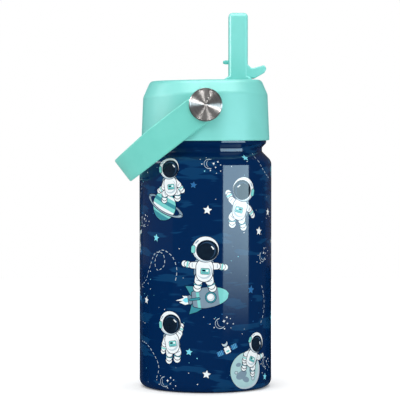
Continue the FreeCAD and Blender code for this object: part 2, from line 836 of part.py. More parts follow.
def make_vent_valve():
    """Silicone duckbill that lets air in through the plug's floor."""
    radius = dim.vent_valve_radius
    top = plug_z + dim.plug_floor
    tip = plug_z - dim.vent_valve_length
    shoulder = plug_z - dim.vent_valve_collar
    lip_top = top + dim.vent_valve_lip_height
    inside = radius - dim.vent_valve_wall
    body = turned("vent_valve", [
        (0, tip),
        (dim.vent_valve_beak, tip, dim.vent_valve_beak_round),
        (radius, shoulder),
        (radius, top),
        (radius + dim.vent_valve_lip, top),
        (radius + dim.vent_valve_lip, lip_top, dim.vent_valve_lip_round),
        (inside, lip_top),
        (inside, shoulder),
        (0, tip + dim.vent_valve_web),
    ])
    return place(body, valve_x(), 0, 0)


# ---------------------------------------------------------------- flip spout
def make_flip_spout():
    """Spout with its round hub, thumb tab and drinking bore, standing up."""
    half = dim.spout_depth / 2
    body = new_body("spout_blank")
    stem_sketch = outline(body, "stem_outline", "XY_Plane", [
        (x, y, dim.spout_edge_round)
        for x, y in ((half, -(dim.spout_width / 2)), (half, dim.spout_width / 2),
                     (-half, dim.spout_width / 2), (-half, -(dim.spout_width / 2)))])
    add_pad(body, stem_sketch, "stem_pad", dim.spout_height, midplane=False)
    place(body, dim.spout_offset, 0, hinge_z)
    doc.recompute()
    tip = spout_tip_z.value
    stem = rounded_edges("stem_rounded", body, lambda edge: edge.BoundBox.ZMin > tip - 0.01,
                         dim.spout_tip_round)
    hub = cylinder("hub", dim.hub_radius, dim.spout_width,
                   dim.spout_offset, -(dim.spout_width / 2), hinge_z, "Y")
    hub = rounded_edges("hub_rounded", hub, lambda edge: edge.BoundBox.YLength < 1e-3,
                        dim.hub_round)
    reach, lip = dim.tab_reach, dim.tab_lip_set_in
    tab = padded("thumb_tab", "XZ_Plane", [
        (0, dim.tab_foot),
        (dim.tab_foot_reach, dim.tab_foot, dim.tab_lip_round),
        (reach - lip, dim.tab_low_lip, lip),
        (reach, dim.tab_tip, lip),
        (reach - lip, dim.tab_high_lip, dim.tab_lip_round),
        (half + dim.tab_dip_reach, dim.tab_dip, dim.tab_dip_round),
        (half - dim.tab_side_gap, dim.tab_top),
        (0, dim.tab_top),
    ], dim.spout_width / 2 - dim.tab_side_gap)
    place(tab, dim.spout_offset, 0, hinge_z)
    stem_face_x = dim.spout_offset.value + half.value
    tab = rounded_edges(
        "tab_rounded", tab,
        lambda edge: edge.BoundBox.YLength < 1e-3 and edge.BoundBox.XMax > stem_face_x,
        dim.tab_side_round)
    bore = cylinder("spout_bore", dim.spout_bore_radius,
                    dim.spout_height + dim.hub_radius + 2 * SPARE,
                    dim.spout_offset, 0, hinge_z - dim.hub_radius - SPARE)
    bevel = dim.spout_mouth_bevel
    mouth = cone("spout_mouth", dim.spout_bore_radius, dim.spout_bore_radius + bevel, bevel,
                 dim.spout_offset, 0, spout_tip_z - bevel)
    pin_holes = [cylinder(f"pin_hole_{index}", dim.hinge_pin_radius, dim.hinge_pin_bite,
                          dim.spout_offset, start, hinge_z, "Y")
                 for index, start in enumerate((-(dim.spout_width / 2),
                                                dim.spout_width / 2 - dim.hinge_pin_bite))]
    plug_hole = cylinder("vent_plug_hole", dim.vent_plug_radius, dim.vent_plug_root,
                         dim.spout_offset - half, 0, hinge_z + dim.vent_plug_height, "X")
    return cut("flip_spout", fuse("spout_solid", stem, hub, tab), bore, mouth, *pin_holes, plug_hole)


def make_spout_pins():
    """Two short steel pins, pressed into the hub and turning in the lid's cheeks."""
    start = dim.spout_width / 2 - dim.hinge_pin_bite
    length = pin_half() - start
    pins = [cylinder(f"pin_{index}", dim.hinge_pin_radius, length, dim.spout_offset, y, hinge_z, "Y")
            for index, y in enumerate((-pin_half(), start))]
    group = doc.addObject("Part::Compound", "spout_pins")
    group.Label = "spout_pins"
    group.Links = pins
    return group


def make_vent_plug():
    """Soft nub that closes the vent hole when the spout is down."""
    radius = dim.vent_plug_radius
    reach = dim.vent_plug_reach
    body = new_body("vent_plug")
    sketch = outline(body, "vent_plug_outline", "XY_Plane", [
        (dim.vent_plug_root, 0),
        (dim.vent_plug_root, radius),
        (0, radius),
        (-(reach * 0.6), radius),       # the last two fifths taper, to find the hole
        (-reach, radius - dim.vent_plug_tip_set_in, dim.vent_plug_tip_round),
        (-reach, 0),
    ])
    turn = body.newObject("PartDesign::Revolution", "vent_plug_turned")
    turn.Profile = sketch
    turn.ReferenceAxis = (sketch, ["H_Axis"])
    turn.Angle = 360
    return place(body, dim.spout_offset - dim.spout_depth / 2, 0, hinge_z + dim.vent_plug_height)


# ---------------------------------------------------------------- carry strap and pivots
def make_carry_strap():
    """U-shaped flexible band, drawn level towards -X about its pivot, then hung at its angle."""
    width = dim.strap_width / 2
    outer, inner = strap_outer_half, strap_inner_half
    far_out = strap_reach
    far_in = strap_reach - dim.strap_thickness
    corner = dim.strap_corner_radius
    band = padded("strap_band", "XY_Plane", [
        (width, -outer),
        (-far_out, -outer, corner + dim.strap_thickness),
        (-far_out, outer, corner + dim.strap_thickness),
        (width, outer),
        (width, inner),
        (-far_in, inner, corner),
        (-far_in, -inner, corner),
        (width, -inner),
    ], width + SPARE)
    pivot_round = width - dim.strap_side_corner_gap
    side = padded("strap_side", "XZ_Plane", [
        (width, -width, pivot_round),
        (width, width, pivot_round),
        (-(far_out * dim.strap_bend_share), width, dim.strap_bend_round),
        (-far_out, width - dim.strap_end_drop, dim.strap_end_round),
        (-far_out, -width, dim.strap_end_round),
    ], outer + SPARE)
    blank = common("strap_blank", band, side)
    hole = cylinder("strap_hole", dim.bush_radius + dim.bush_play, 2 * (outer + SPARE),
                    0, -(outer + SPARE), 0, "Y")
    strap = cut("carry_strap", blank, hole)
    return place(strap, 0, 0, pivot_z, Rotation(Vector(0, 1, 0), -dim.strap_hang_angle.value))


def make_pivot(side):
    """Button, screw and bush on one side of the lid: side is -1 in front, +1 behind."""
    name = "front" if side < 0 else "rear"
    start = button_inner_half
    face = start + dim.button_thickness
    head_end = start + dim.screw_head_height
    rim = dim.button_radius - dim.button_rim_set_in
    button = turned_about_y(f"button_{name}", [
        (side * head_end, 0),
        (side * head_end, dim.screw_head_radius),
        (side * start, dim.screw_head_radius),
        (side * start, dim.button_radius - dim.button_back_bevel),
        (side * (start + dim.button_back_bevel), dim.button_radius),
        (side * (face - dim.button_dome), dim.button_radius),
        (side * (face - dim.button_rim_rise), rim),
        (side * (face - 2 * dim.button_rim_rise), rim - dim.button_rim),
        (side * face, 0),
    ], 0, pivot_z)
    screw = turned_about_y(f"pivot_screw_{name}", [
        (side * (pad_half - dim.screw_length), 0),
        (side * (pad_half - dim.screw_length), dim.screw_radius),
        (side * start, dim.screw_radius),
        (side * start, dim.screw_head_radius),
        (side * head_end, dim.screw_head_radius),
        (side * head_end, 0),
    ], 0, pivot_z)
    bush = turned_about_y(f"pivot_bush_{name}", [
        (side * pad_half, dim.screw_radius),
        (side * pad_half, dim.bush_radius),
        (side * start, dim.bush_radius),
        (side * start, dim.screw_radius),
    ], 0, pivot_z)
    return [button, screw, bush]


def main():
    """Build every piece, check it, and write one STEP file for each."""
    pieces = [
        make_outer_shell(),
        make_inner_vessel(),
        make_outer_base(),
        make_vacuum_seal(),
        make_base_cover(),
        make_getter(),
        make_lid_gasket(),
        make_lid_core(),
        make_lid_shell(),
        make_spout_seal(),
        make_straw_socket(),
        make_straw(),
        make_vent_valve(),
        make_flip_spout(),
        make_spout_pins(),
        make_vent_plug(),
        make_carry_strap(),
        *make_pivot(-1),
        *make_pivot(1),
    ]
    doc.recompute()
    for item in doc.Objects:
        if {"Invalid", "Error"} & set(item.State):
            raise RuntimeError(f"{item.Label}: {item.State}")
    os.makedirs("parts", exist_ok=True)
    for piece in pieces:
        shape = piece.Shape
        if shape.isNull() or not shape.isValid() or not shape.Solids:
            raise RuntimeError(f"{piece.Label} has no sound solid")
        shape.exportStep(f"parts/{piece.Label}.step")
        low, high = shape.BoundBox.ZMin, shape.BoundBox.ZMax
        print(f"{piece.Label}: {len(shape.Solids)} solid, {shape.Volume:.0f} mm3, "
              f"z {low:.2f} to {high:.2f}")


main()
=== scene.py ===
"""Looks of a kids' insulated water bottle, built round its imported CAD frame.

The printed steel can and the carry strap are made here. The moulded lid, the flip spout, the
buttons and the inside pieces keep their CAD shape and get their finishes here.
"""
import logging
import math
import random
from dataclasses import dataclass
from enum import Enum
from typing import Any, Callable

import bpy
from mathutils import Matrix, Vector
from mathutils.geometry import delaunay_2d_cdt


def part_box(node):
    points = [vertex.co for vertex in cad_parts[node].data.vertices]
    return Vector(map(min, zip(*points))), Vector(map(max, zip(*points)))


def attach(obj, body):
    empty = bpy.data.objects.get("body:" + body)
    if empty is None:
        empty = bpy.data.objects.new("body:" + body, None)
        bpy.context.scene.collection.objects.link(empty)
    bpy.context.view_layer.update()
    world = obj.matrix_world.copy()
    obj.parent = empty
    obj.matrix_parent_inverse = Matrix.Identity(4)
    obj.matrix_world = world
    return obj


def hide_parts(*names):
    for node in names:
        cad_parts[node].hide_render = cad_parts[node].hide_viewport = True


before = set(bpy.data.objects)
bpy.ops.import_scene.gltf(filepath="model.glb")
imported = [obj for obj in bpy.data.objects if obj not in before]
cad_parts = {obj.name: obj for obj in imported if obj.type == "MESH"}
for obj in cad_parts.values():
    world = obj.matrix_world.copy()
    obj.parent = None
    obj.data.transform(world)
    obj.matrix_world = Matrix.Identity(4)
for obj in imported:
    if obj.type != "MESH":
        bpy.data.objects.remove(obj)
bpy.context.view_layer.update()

log = logging.getLogger("kids_bottle")

MM = 0.001
LEFT_EDGE = -66.7       # where the flat print starts and the rolled one has its seam, mm
PIVOT_Z = 155.5         # height of the line that the strap turns about, mm
AIM_HEIGHT = 0.12       # height on the bottle that every lamp points at, m
OVAL_GAP = 0.5          # about how far apart an oval's points are, mm
OVAL_TURN = 24          # most degrees from one of an oval's points to the next
RUN_TURN = 9            # most degrees from one point to the next on a turned piece's rounding
MITRE_LIMIT = 2.2       # how many margins a sharp corner may move out
LONGEST_SIDE = 1.3      # longest straight side of a printed shape, so that it follows the can, mm
SNAP = 1e-3             # how near a point is to an edge that it lies on, mm
MERGE = 1e-5            # how near two points are to be taken as one, mm
TRAIL_SAMPLES = 24      # points of a trail from one of its guide points to the next
DASH_LENGTH = 1.2       # where a dash of a trail ends, mm
DASH_PITCH = 2.7        # where the next one starts, mm
DASH_HALF = 0.17        # half a dash's width, mm
Outline = list[tuple[float, float]]


# ---------------------------------------------------------------- colour and nodes
def linear(code: str) -> tuple[float, float, float, float]:
    """Turn an sRGB hex colour into linear red, green, blue and alpha.

    Args:
        code: the colour as #RRGGBB.

    Returns:
        Linear values from 0 to 1, with alpha 1.
    """
    values = [int(code[start:start + 2], 16) / 255 for start in (1, 3, 5)]
    return (*[v / 12.92 if v <= 0.04045 else ((v + 0.055) / 1.055) ** 2.4 for v in values], 1.0)


def add_node(tree: bpy.types.NodeTree, kind: str, sockets: dict[Any, Any] | None = None,
             **settings: Any) -> bpy.types.Node:
    """Add a node with its settings, socket values and links.

    Args:
        tree: the node tree it goes in.
        kind: Blender's name for the node.
        sockets: input name or number to a value, or to the output socket that feeds it.
        settings: properties of the node itself.

    Returns:
        The new node.
    """
    node = tree.nodes.new(kind)
    for name, value in settings.items():
        setattr(node, name, value)
    for name, value in (sockets or {}).items():
        if isinstance(value, bpy.types.NodeSocket):
            tree.links.new(value, node.inputs[name])
        else:
            node.inputs[name].default_value = value
    return node


def empty_tree(owner: Any) -> bpy.types.NodeTree:
    """Switch a material or a world to nodes and empty its tree."""
    owner.use_nodes = True
    owner.node_tree.nodes.clear()
    return owner.node_tree


def new_object(name: str, data: Any) -> bpy.types.Object:
    """Put a mesh, a lamp or a camera into the scene."""
    made = bpy.data.objects.new(name, data)
    bpy.context.scene.collection.objects.link(made)
    return made


class Surface:
    """A material being put together: its tree, its shader and its mapped noises."""

    def __init__(self, name: str) -> None:
        """Start a material with a Principled shader and nothing else.

        Args:
            name: the material's name, for its real stuff and how its surface was made.
        """
        self.material = bpy.data.materials.new(name)
        self.tree = empty_tree(self.material)
        self.shader = add_node(self.tree, "ShaderNodeBsdfPrincipled")
        add_node(self.tree, "ShaderNodeOutputMaterial", {"Surface": self.shader.outputs["BSDF"]})
        self.place = add_node(self.tree, "ShaderNodeTexCoord").outputs["Object"]

    def set(self, **values: Any) -> None:
        """Set uniform values on the shader, with underscores for the spaces in socket names."""
        for name, value in values.items():
            self.shader.inputs[name.replace("_", " ")].default_value = value

    def feed(self, socket: str, source: bpy.types.NodeSocket) -> None:
        """Link a node's output to one of the shader's sockets."""
        self.tree.links.new(source, self.shader.inputs[socket])

    def noise(self, size: tuple[float, float, float], detail: float = 3.0,
              source: bpy.types.NodeSocket | None = None) -> bpy.types.NodeSocket:
        """Noise with its patches sized along each axis.

        Args:
            size: patch length along X, Y and Z in millimetres.
            detail: how many finer layers it has.
            source: the coordinates, or the object's own.

        Returns:
            The noise's value, about 0.5 on average.
        """
        scale = tuple(1 / (length * MM) for length in size)
        mapped = add_node(self.tree, "ShaderNodeMapping",
                          {"Vector": source or self.place, "Scale": scale})
        return add_node(self.tree, "ShaderNodeTexNoise",
                        {"Vector": mapped.outputs["Vector"], "Scale": 1.0,
                         "Detail": detail}).outputs["Fac"]

    def ranged(self, value: bpy.types.NodeSocket, low: float, high: float, to_low: float,
               to_high: float) -> bpy.types.NodeSocket:
        """Stretch a value from one range onto another, clamped.

        Args:
            value: the value that varies.
            low: where it starts.
            high: where it ends.
            to_low: what the start becomes.
            to_high: what the end becomes.

        Returns:
            The stretched value.
        """
        return add_node(self.tree, "ShaderNodeMapRange",
                        {"Value": value, "From Min": low, "From Max": high,
                         "To Min": to_low, "To Max": to_high}).outputs["Result"]

    def blended(self, share: bpy.types.NodeSocket, first: Any, second: Any) -> bpy.types.NodeSocket:
        """Mix two colours.

        Args:
            share: how much of the second shows.
            first: hex colour or colour output.
            second: hex colour or colour output.

        Returns:
            The mixed colour.
        """
        sides = [linear(side) if isinstance(side, str) else side for side in (first, second)]
        return add_node(self.tree, "ShaderNodeMix", {"Factor": share, 6: sides[0], 7: sides[1]},
                        data_type="RGBA").outputs[2]

    def dent(self, height: bpy.types.NodeSocket, depth: float, strength: float = 1.0) -> None:
        """Give the surface relief.

        Args:
            height: the relief's height from 0 to 1.
            depth: what a height of 1 stands for, in millimetres.
            strength: share of the relief that shows.
        """
        bump = add_node(self.tree, "ShaderNodeBump",
                        {"Height": height, "Distance": depth * MM, "Strength": strength})
        self.feed("Normal", bump.outputs["Normal"])

    def mottle(self, finish: Any, patch: float, detail: float, rub: tuple[float, float, float],
               spread: float) -> None:
        """Let the colour and the roughness drift in soft patches.

        Args:
            finish: the finish, with its two colours and its middle roughness.
            patch: size of a patch of colour, in millimetres.
            detail: how many finer layers the patches of colour have.
            rub: size of a patch of roughness along X, Y and Z, in millimetres.
            spread: how far the roughness goes to either side of the middle.
        """
        cloud = self.ranged(self.noise((patch,) * 3, detail), 0.35, 0.65, 0.0, 1.0)
        self.feed("Base Color", self.blended(cloud, finish.colour, finish.second))
        self.feed("Roughness", self.ranged(self.noise(rub), 0.3, 0.7, finish.roughness - spread,
                                           finish.roughness + spread))

    def polar(self, first: bpy.types.NodeSocket, second: bpy.types.NodeSocket
              ) -> tuple[bpy.types.NodeSocket, bpy.types.NodeSocket]:
        """Turn two coordinates square to an axis into distance from it and angle round it.

        Args:
            first: place along one of the two directions.
            second: place along the other one.

        Returns:
            The distance, and the angle in radians.
        """
        spoke = add_node(self.tree, "ShaderNodeCombineXYZ", {"X": first, "Y": second})
        radius = add_node(self.tree, "ShaderNodeVectorMath", {0: spoke.outputs["Vector"]},
                          operation="LENGTH").outputs["Value"]
        angle = add_node(self.tree, "ShaderNodeMath", {0: first, 1: second},
                         operation="ARCTAN2").outputs["Value"]
        return radius, angle

    def around(self, radial: float, angular: float, along: float) -> bpy.types.NodeSocket:
        """Coordinates that run round the bottle's axis, for brushing and drawing marks.

        Args:
            radial: mark width across the radius, in millimetres.
            angular: mark length round the axis, in turns of one radian.
            along: mark width along the axis, in millimetres.

        Returns:
            Coordinates whose unit is one mark.
        """
        split = add_node(self.tree, "ShaderNodeSeparateXYZ", {"Vector": self.place})
        radius, angle = self.polar(split.outputs["X"], split.outputs["Y"])
        marks = add_node(self.tree, "ShaderNodeCombineXYZ",
                         {"X": radius, "Y": angle, "Z": split.outputs["Z"]})
        return add_node(self.tree, "ShaderNodeMapping",
                        {"Vector": marks.outputs["Vector"],
                         "Scale": (1 / (radial * MM), 1 / angular, 1 / (along * MM))}
                        ).outputs["Vector"]


# ---------------------------------------------------------------- finishes
@dataclass(frozen=True)
class LacqueredInk:
    """Screen-printed enamel ink on a powder-primed steel can, under clear gloss lacquer.

    The lacquer levels almost flat, so lights show as clean-edged patches with a faint orange
    peel, while the ink below keeps a little unevenness of tone.
    """

    name: str
    colour: str
    second: str
    brushed: bool = False

    def build(self) -> bpy.types.Material:
        """Make the ink's material."""
        ink = Surface(self.name)
        if self.brushed:
            share = self._strokes(ink)
        else:
            share = ink.ranged(ink.noise((2.5, 2.5, 2.5)), 0.35, 0.75, 0.0, 0.5)
        ink.feed("Base Color", ink.blended(share, self.colour, self.second))
        ink.feed("Roughness", ink.ranged(ink.noise((6, 6, 6)), 0.3, 0.7, 0.055, 0.085))
        ink.dent(ink.noise((1.6, 1.6, 1.6), 1.0), 0.004)    # orange peel with 1.6 mm waves
        ink.set(IOR=1.5)
        return ink.material

    def _strokes(self, ink: Surface) -> bpy.types.NodeSocket:
        """Flat-brush strokes in a second blue, about 6 mm tall, ragged along 0.7 mm bristles."""
        sway = ink.ranged(ink.noise((40, 40, 40), 0.0), 0.3, 0.7, -2 * MM, 2 * MM)
        lift = add_node(ink.tree, "ShaderNodeCombineXYZ", {"Z": sway})
        swayed = add_node(ink.tree, "ShaderNodeVectorMath",
                          {0: ink.place, 1: lift.outputs["Vector"]}).outputs["Vector"]
        bristles = ink.noise((20, 20, 0.7), 2.0, swayed)
        ragged = add_node(ink.tree, "ShaderNodeMath",
                          {0: bristles, 1: 0.16, 2: ink.noise((26, 26, 6.5), 2.0, swayed)},
                          operation="MULTIPLY_ADD").outputs["Value"]
        return ink.ranged(ragged, 0.66, 0.69, 0.0, 1.0)


class Ink(Enum):
    """The print's inks, in the order of the can's material slots."""

    SKY = 0
    LINE = 1
    WHITE = 2
    SHADE = 3
    VISOR = 4
    MINT = 5
    TEAL = 6
    SLATE = 7
    CYAN = 8
    BLUE = 9
    PALE = 10
    DUSK = 11


INKS = (
    LacqueredInk("navy_enamel_brushed", "#02244E", "#0C3962", brushed=True),
    LacqueredInk("black_line_enamel", "#0B1B33", "#0F2542"),
    LacqueredInk("white_enamel", "#EDF3F5", "#DDE8EC"),
    LacqueredInk("pale_grey_enamel", "#BCCDD6", "#A9BECA"),
    LacqueredInk("dark_glass_enamel", "#101D2C", "#162838"),
    LacqueredInk("mint_enamel", "#7CCFCB", "#6CC2BF"),
    LacqueredInk("teal_enamel", "#3D8F9C", "#34808F"),
    LacqueredInk("slate_enamel", "#7E95A5", "#6E8798"),
    LacqueredInk("cyan_enamel", "#7FD8EA", "#6CCBE0"),
    LacqueredInk("blue_enamel", "#2F6CA4", "#285F94"),
    LacqueredInk("moon_grey_enamel", "#A9CDD0", "#9CC2C6"),
    LacqueredInk("dusk_blue_enamel", "#2B4460", "#243B55"),
)


@dataclass(frozen=True)
class MouldedPlastic:
    """Polypropylene or acetal from a spark-eroded mould: satin, with a fine even grain.

    The grain spreads highlights into soft bands, and the surface stays a touch uneven in tone.
    """

    name: str
    colour: str
    second: str
    roughness: float
    grain: float = 0.5      # real mould grain is about 0.05 mm; drawn ten times coarser to show
    depth: float = 0.004
    ior: float = 1.49

    def build(self) -> bpy.types.Material:
        """Make the plastic's material."""
        plastic = Surface(self.name)
        plastic.mottle(self, 14, 2.0, (5, 5, 5), 0.03)
        plastic.dent(plastic.noise((self.grain,) * 3, 2.0), self.depth)
        plastic.set(IOR=self.ior)
        return plastic.material


@dataclass(frozen=True)
class SoftTouchRubber:
    """Thermoplastic elastomer moulded in a blasted tool: matt, with a faint bloom at its edges."""

    name: str
    colour: str
    second: str
    roughness: float

    def build(self) -> bpy.types.Material:
        """Make the elastomer's material."""
        rubber = Surface(self.name)
        rubber.mottle(self, 9, 3.0, (3, 3, 3), 0.05)
        rubber.dent(rubber.noise((0.45,) * 3, 2.0), 0.008)      # blasted grain, drawn coarse
        rubber.set(IOR=1.5, Sheen_Weight=0.12, Sheen_Roughness=0.4)
        return rubber.material


@dataclass(frozen=True)
class DrawnSteel:
    """18/8 stainless steel, drawn and then polished or brushed round the bottle's axis.

    The marks run round the axis, so lights stretch into bands along it.
    """

    name: str
    colour: str
    roughness: float
    mark: float         # width of one brush mark, millimetres
    depth: float

    def build(self) -> bpy.types.Material:
        """Make the steel's material."""
        steel = Surface(self.name)
        marks = steel.around(self.mark, 0.5, self.mark)
        lines = add_node(steel.tree, "ShaderNodeTexNoise",
                         {"Vector": marks, "Scale": 1.0, "Detail": 3.0}).outputs["Fac"]
        darker = steel.ranged(lines, 0.3, 0.7, 0.0, 0.35)
        steel.feed("Base Color", steel.blended(darker, self.colour, "#7D7B79"))
        steel.feed("Roughness", steel.ranged(
            lines, 0.3, 0.7, self.roughness - 0.05, self.roughness + 0.07))
        steel.dent(lines, self.depth)
        steel.set(Metallic=1.0)
        return steel.material


@dataclass(frozen=True)
class FaceTurnedSteel:
    """Stainless button face-turned on a lathe: fine rings about its own centre.

    The rings draw every light out into a thin bright ray across the face.
    """

    name: str
    colour: str
    second: str
    centre_z: float     # height of the turning centre, millimetres

    def build(self) -> bpy.types.Material:
        """Make the turned steel's material."""
        steel = Surface(self.name)
        split = add_node(steel.tree, "ShaderNodeSeparateXYZ", {"Vector": steel.place})
        height = add_node(steel.tree, "ShaderNodeMath",
                          {0: split.outputs["Z"], 1: self.centre_z * MM},
                          operation="SUBTRACT").outputs["Value"]
        radius, angle = steel.polar(split.outputs["X"], height)
        groove = add_node(steel.tree, "ShaderNodeCombineXYZ", {"X": radius, "Y": angle})
        rings = add_node(steel.tree, "ShaderNodeMapping",       # 0.18 mm feed marks
                         {"Vector": groove.outputs["Vector"], "Scale": (1 / (0.18 * MM), 0.6, 1)})
        lines = add_node(steel.tree, "ShaderNodeTexNoise",
                         {"Vector": rings.outputs["Vector"], "Scale": 1.0,
                          "Detail": 2.0}).outputs["Fac"]
        share = steel.ranged(lines, 0.35, 0.65, 0.0, 1.0)
        steel.feed("Base Color", steel.blended(share, self.colour, self.second))
        steel.feed("Roughness", steel.ranged(lines, 0.3, 0.7, 0.33, 0.41))
        steel.dent(lines, 0.002)
        tangent = add_node(steel.tree, "ShaderNodeTangent", direction_type="RADIAL", axis="Y")
        steel.feed("Tangent", tangent.outputs["Tangent"])
        steel.set(Metallic=1.0, Anisotropic=1.0, Anisotropic_Rotation=0.25)
        return steel.material


@dataclass(frozen=True)
class ClearMoulding:
    """Silicone or polypropylene let to show light through: milky, with soft highlights."""

    name: str
    colour: str
    second: str
    roughness: float
    clarity: float
    ior: float

    def build(self) -> bpy.types.Material:
        """Make the see-through moulding's material."""
        clear = Surface(self.name)
        clear.mottle(self, 4, 2.0, (2, 2, 6), 0.04)
        clear.dent(clear.noise((0.8, 0.8, 3.0), 1.0), 0.006)    # faint draw lines
        clear.set(IOR=self.ior, Transmission_Weight=self.clarity)
        return clear.material


@dataclass(frozen=True)
class SinteredMetal:
    """Pressed and fired powder: dark, matt and pitted."""

    name: str
    colour: str
    second: str

    def build(self) -> bpy.types.Material:
        """Make the fired powder's material."""
        metal = Surface(self.name)
        pits = metal.noise((0.6,) * 3, 4.0)
        share = metal.ranged(pits, 0.4, 0.6, 0, 1)
        metal.feed("Base Color", metal.blended(share, self.colour, self.second))
        metal.feed("Roughness", metal.ranged(pits, 0.3, 0.7, 0.55, 0.75))
        metal.dent(pits, 0.05)
        metal.set(Metallic=0.8)
        return metal.material


def dress(finish: Any, *nodes: str) -> None:
    """Give CAD nodes one finish.

    Args:
        finish: the finish, which makes its own material.
        nodes: the CAD nodes that take it.
    """
    material = finish.build()
    for node in nodes:
        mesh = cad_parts[node].data
        mesh.materials.clear()
        mesh.materials.append(material)
        log.info("%s: %s", node, finish.name)


# ---------------------------------------------------------------- meshes with exact normals
class FacedMesh:
    """Points and faces, with an exact normal at every face corner, gathered for one piece."""

    def __init__(self) -> None:
        """Start with no points and no faces."""
        self.points: list[Vector] = []
        self.faces: list[list[int]] = []
        self.normals: list[Vector] = []
        self.slots: list[int] = []

    def add_point(self, point: Vector) -> int:
        """Add a point in millimetres and return its number."""
        self.points.append(point)
        return len(self.points) - 1

    def add_face(self, corners: list[int], normals: list[Vector], slot: int = 0) -> None:
        """Add a face.

        Args:
            corners: its points, anticlockwise from outside.
            normals: the surface's normal at each of them.
            slot: its material slot.
        """
        self.faces.append(corners)
        self.normals.extend(normals)
        self.slots.append(slot)

    def to_object(self, name: str, materials: list[bpy.types.Material]) -> bpy.types.Object:
        """Make the piece.

        Args:
            name: the piece's name.
            materials: its materials, in slot order.

        Returns:
            The new object, in metres.
        """
        mesh = bpy.data.meshes.new(name)
        mesh.from_pydata([point * MM for point in self.points], [], self.faces)
        mesh.polygons.foreach_set("material_index", self.slots)
        mesh.polygons.foreach_set("use_smooth", [True] * len(self.faces))
        mesh.normals_split_custom_set([tuple(normal) for normal in self.normals])
        for material in materials:
            mesh.materials.append(material)
        return new_object(name, mesh)


@dataclass(frozen=True)
class Run:
    """One straight or curved stretch of a profile."""

    start: float
    length: float
    origin: Vector          # first point of a straight run, centre of a curved one
    heading: float          # direction of travel, or of the first spoke
    radius: float = 0.0
    turn: float = 1.0       # 1 bends left, -1 bends right

    def at(self, along: float) -> tuple[Vector, Vector]:
        """Point and right-hand normal at a length along the whole profile."""
        travelled = along - self.start
        if self.radius == 0:
            ahead = Vector((math.cos(self.heading), math.sin(self.heading)))
            return self.origin + ahead * travelled, Vector((ahead.y, -ahead.x))
        angle = self.heading + self.turn * travelled / self.radius
        spoke = Vector((math.cos(angle), math.sin(angle)))
        return self.origin + spoke * self.radius, spoke * self.turn

    def steps(self, longest: float) -> list[float]:
        """Lengths along the run, from its start to its end, no more than a step apart."""
        pieces = max(1, math.ceil(self.length / longest))
        if self.radius:
            pieces = max(pieces, math.ceil(self.length / self.radius / math.radians(RUN_TURN)))
        return [self.start + self.length * step / pieces for step in range(pieces + 1)]


class Profile:
    """A turned piece's outline, as runs that each know their length."""

    def __init__(self, corners: list[tuple[float, float, float]], start: float = 0.0) -> None:
        """Lay the runs out.

        Args:
            corners: radius, height and rounding of each corner, in millimetres.
            start: the length that the first point counts as.
        """
        self.runs: list[Run] = []
        here = Vector(corners[0][:2])
        along = start
        for index in range(1, len(corners)):
            corner = Vector(corners[index][:2])
            ahead = (corner - here).normalized()
            rounding = corners[index][2]
            bend = 0.0
            if rounding:
                leaving = (Vector(corners[index + 1][:2]) - corner).normalized()
                bend = math.atan2(ahead.x * leaving.y - ahead.y * leaving.x, ahead.dot(leaving))
            cut = rounding * math.tan(abs(bend) / 2)
            straight = (corner - here).length - cut
            if straight > 1e-6:
                self.runs.append(Run(along, straight, here, math.atan2(ahead.y, ahead.x)))
                along += straight
            here = corner - ahead * cut
            if rounding:
                side = math.copysign(1.0, bend)
                inward = Vector((-ahead.y, ahead.x)) * side
                centre = here + inward * rounding
                length = rounding * abs(bend)
                self.runs.append(Run(along, length, centre, math.atan2(-inward.y, -inward.x),
                                     rounding, side))
                along += length
                here = corner + leaving * cut
        self.end = along

    def at(self, along: float) -> tuple[Vector, Vector]:
        """Point and normal at a length along the profile."""
        for run in self.runs:
            if along <= run.start + run.length + 1e-9:
                return run.at(along)
        return self.runs[-1].at(along)


# ---------------------------------------------------------------- flat shapes for the print
def anticlockwise(points: Outline) -> Outline:
    """Turn an outline so that it runs anticlockwise."""
    area = sum(a[0] * b[1] - b[0] * a[1] for a, b in zip(points, points[1:] + points[:1]))
    return points if area > 0 else points[::-1]


def oval(x: float, z: float, wide: float, high: float | None = None, turn: float = 0.0,
         first: float = 0.0, last: float = 360.0) -> Outline:
    """Points round an oval, or along part of one.

    Args:
        x: centre.
        z: centre.
        wide: half its width.
        high: half its height; as wide as it is, if left out.
        turn: how far it leans, in degrees.
        first: angle that it starts at.
        last: angle that it ends at; a full turn leaves the last point out.

    Returns:
        The points, about half a millimetre apart.
    """
    high = wide if high is None else high
    sweep = abs(last - first)
    count = max(5, round(math.radians(sweep) * max(wide, high) / OVAL_GAP),
                round(sweep / OVAL_TURN))
    steps = count if sweep >= 360 else count + 1
    cosine, sine = math.cos(math.radians(turn)), math.sin(math.radians(turn))
    points = []
    for step in range(steps):
        angle = math.radians(first + (last - first) * step / count)
        a, b = wide * math.cos(angle), high * math.sin(angle)
        points.append((x + a * cosine - b * sine, z + a * sine + b * cosine))
    return points


def limb(x1: float, z1: float, r1: float, x2: float, z2: float, r2: float) -> Outline:
    """A round-ended bar that may taper, from one centre and radius to another."""
    lean = math.degrees(math.atan2(z2 - z1, x2 - x1))
    return (oval(x2, z2, r2, turn=lean, first=-90, last=90)
            + oval(x1, z1, r1, turn=lean, first=90, last=270))


def soft_box(left: float, low: float, right: float, high: float, corner: float) -> Outline:
    """A box with rounded corners."""
    return [point
            for x, z, first in ((right - corner, low + corner, -90),
                                (right - corner, high - corner, 0),
                                (left + corner, high - corner, 90),
                                (left + corner, low + corner, 180))
            for point in oval(x, z, corner, first=first, last=first + 90)]


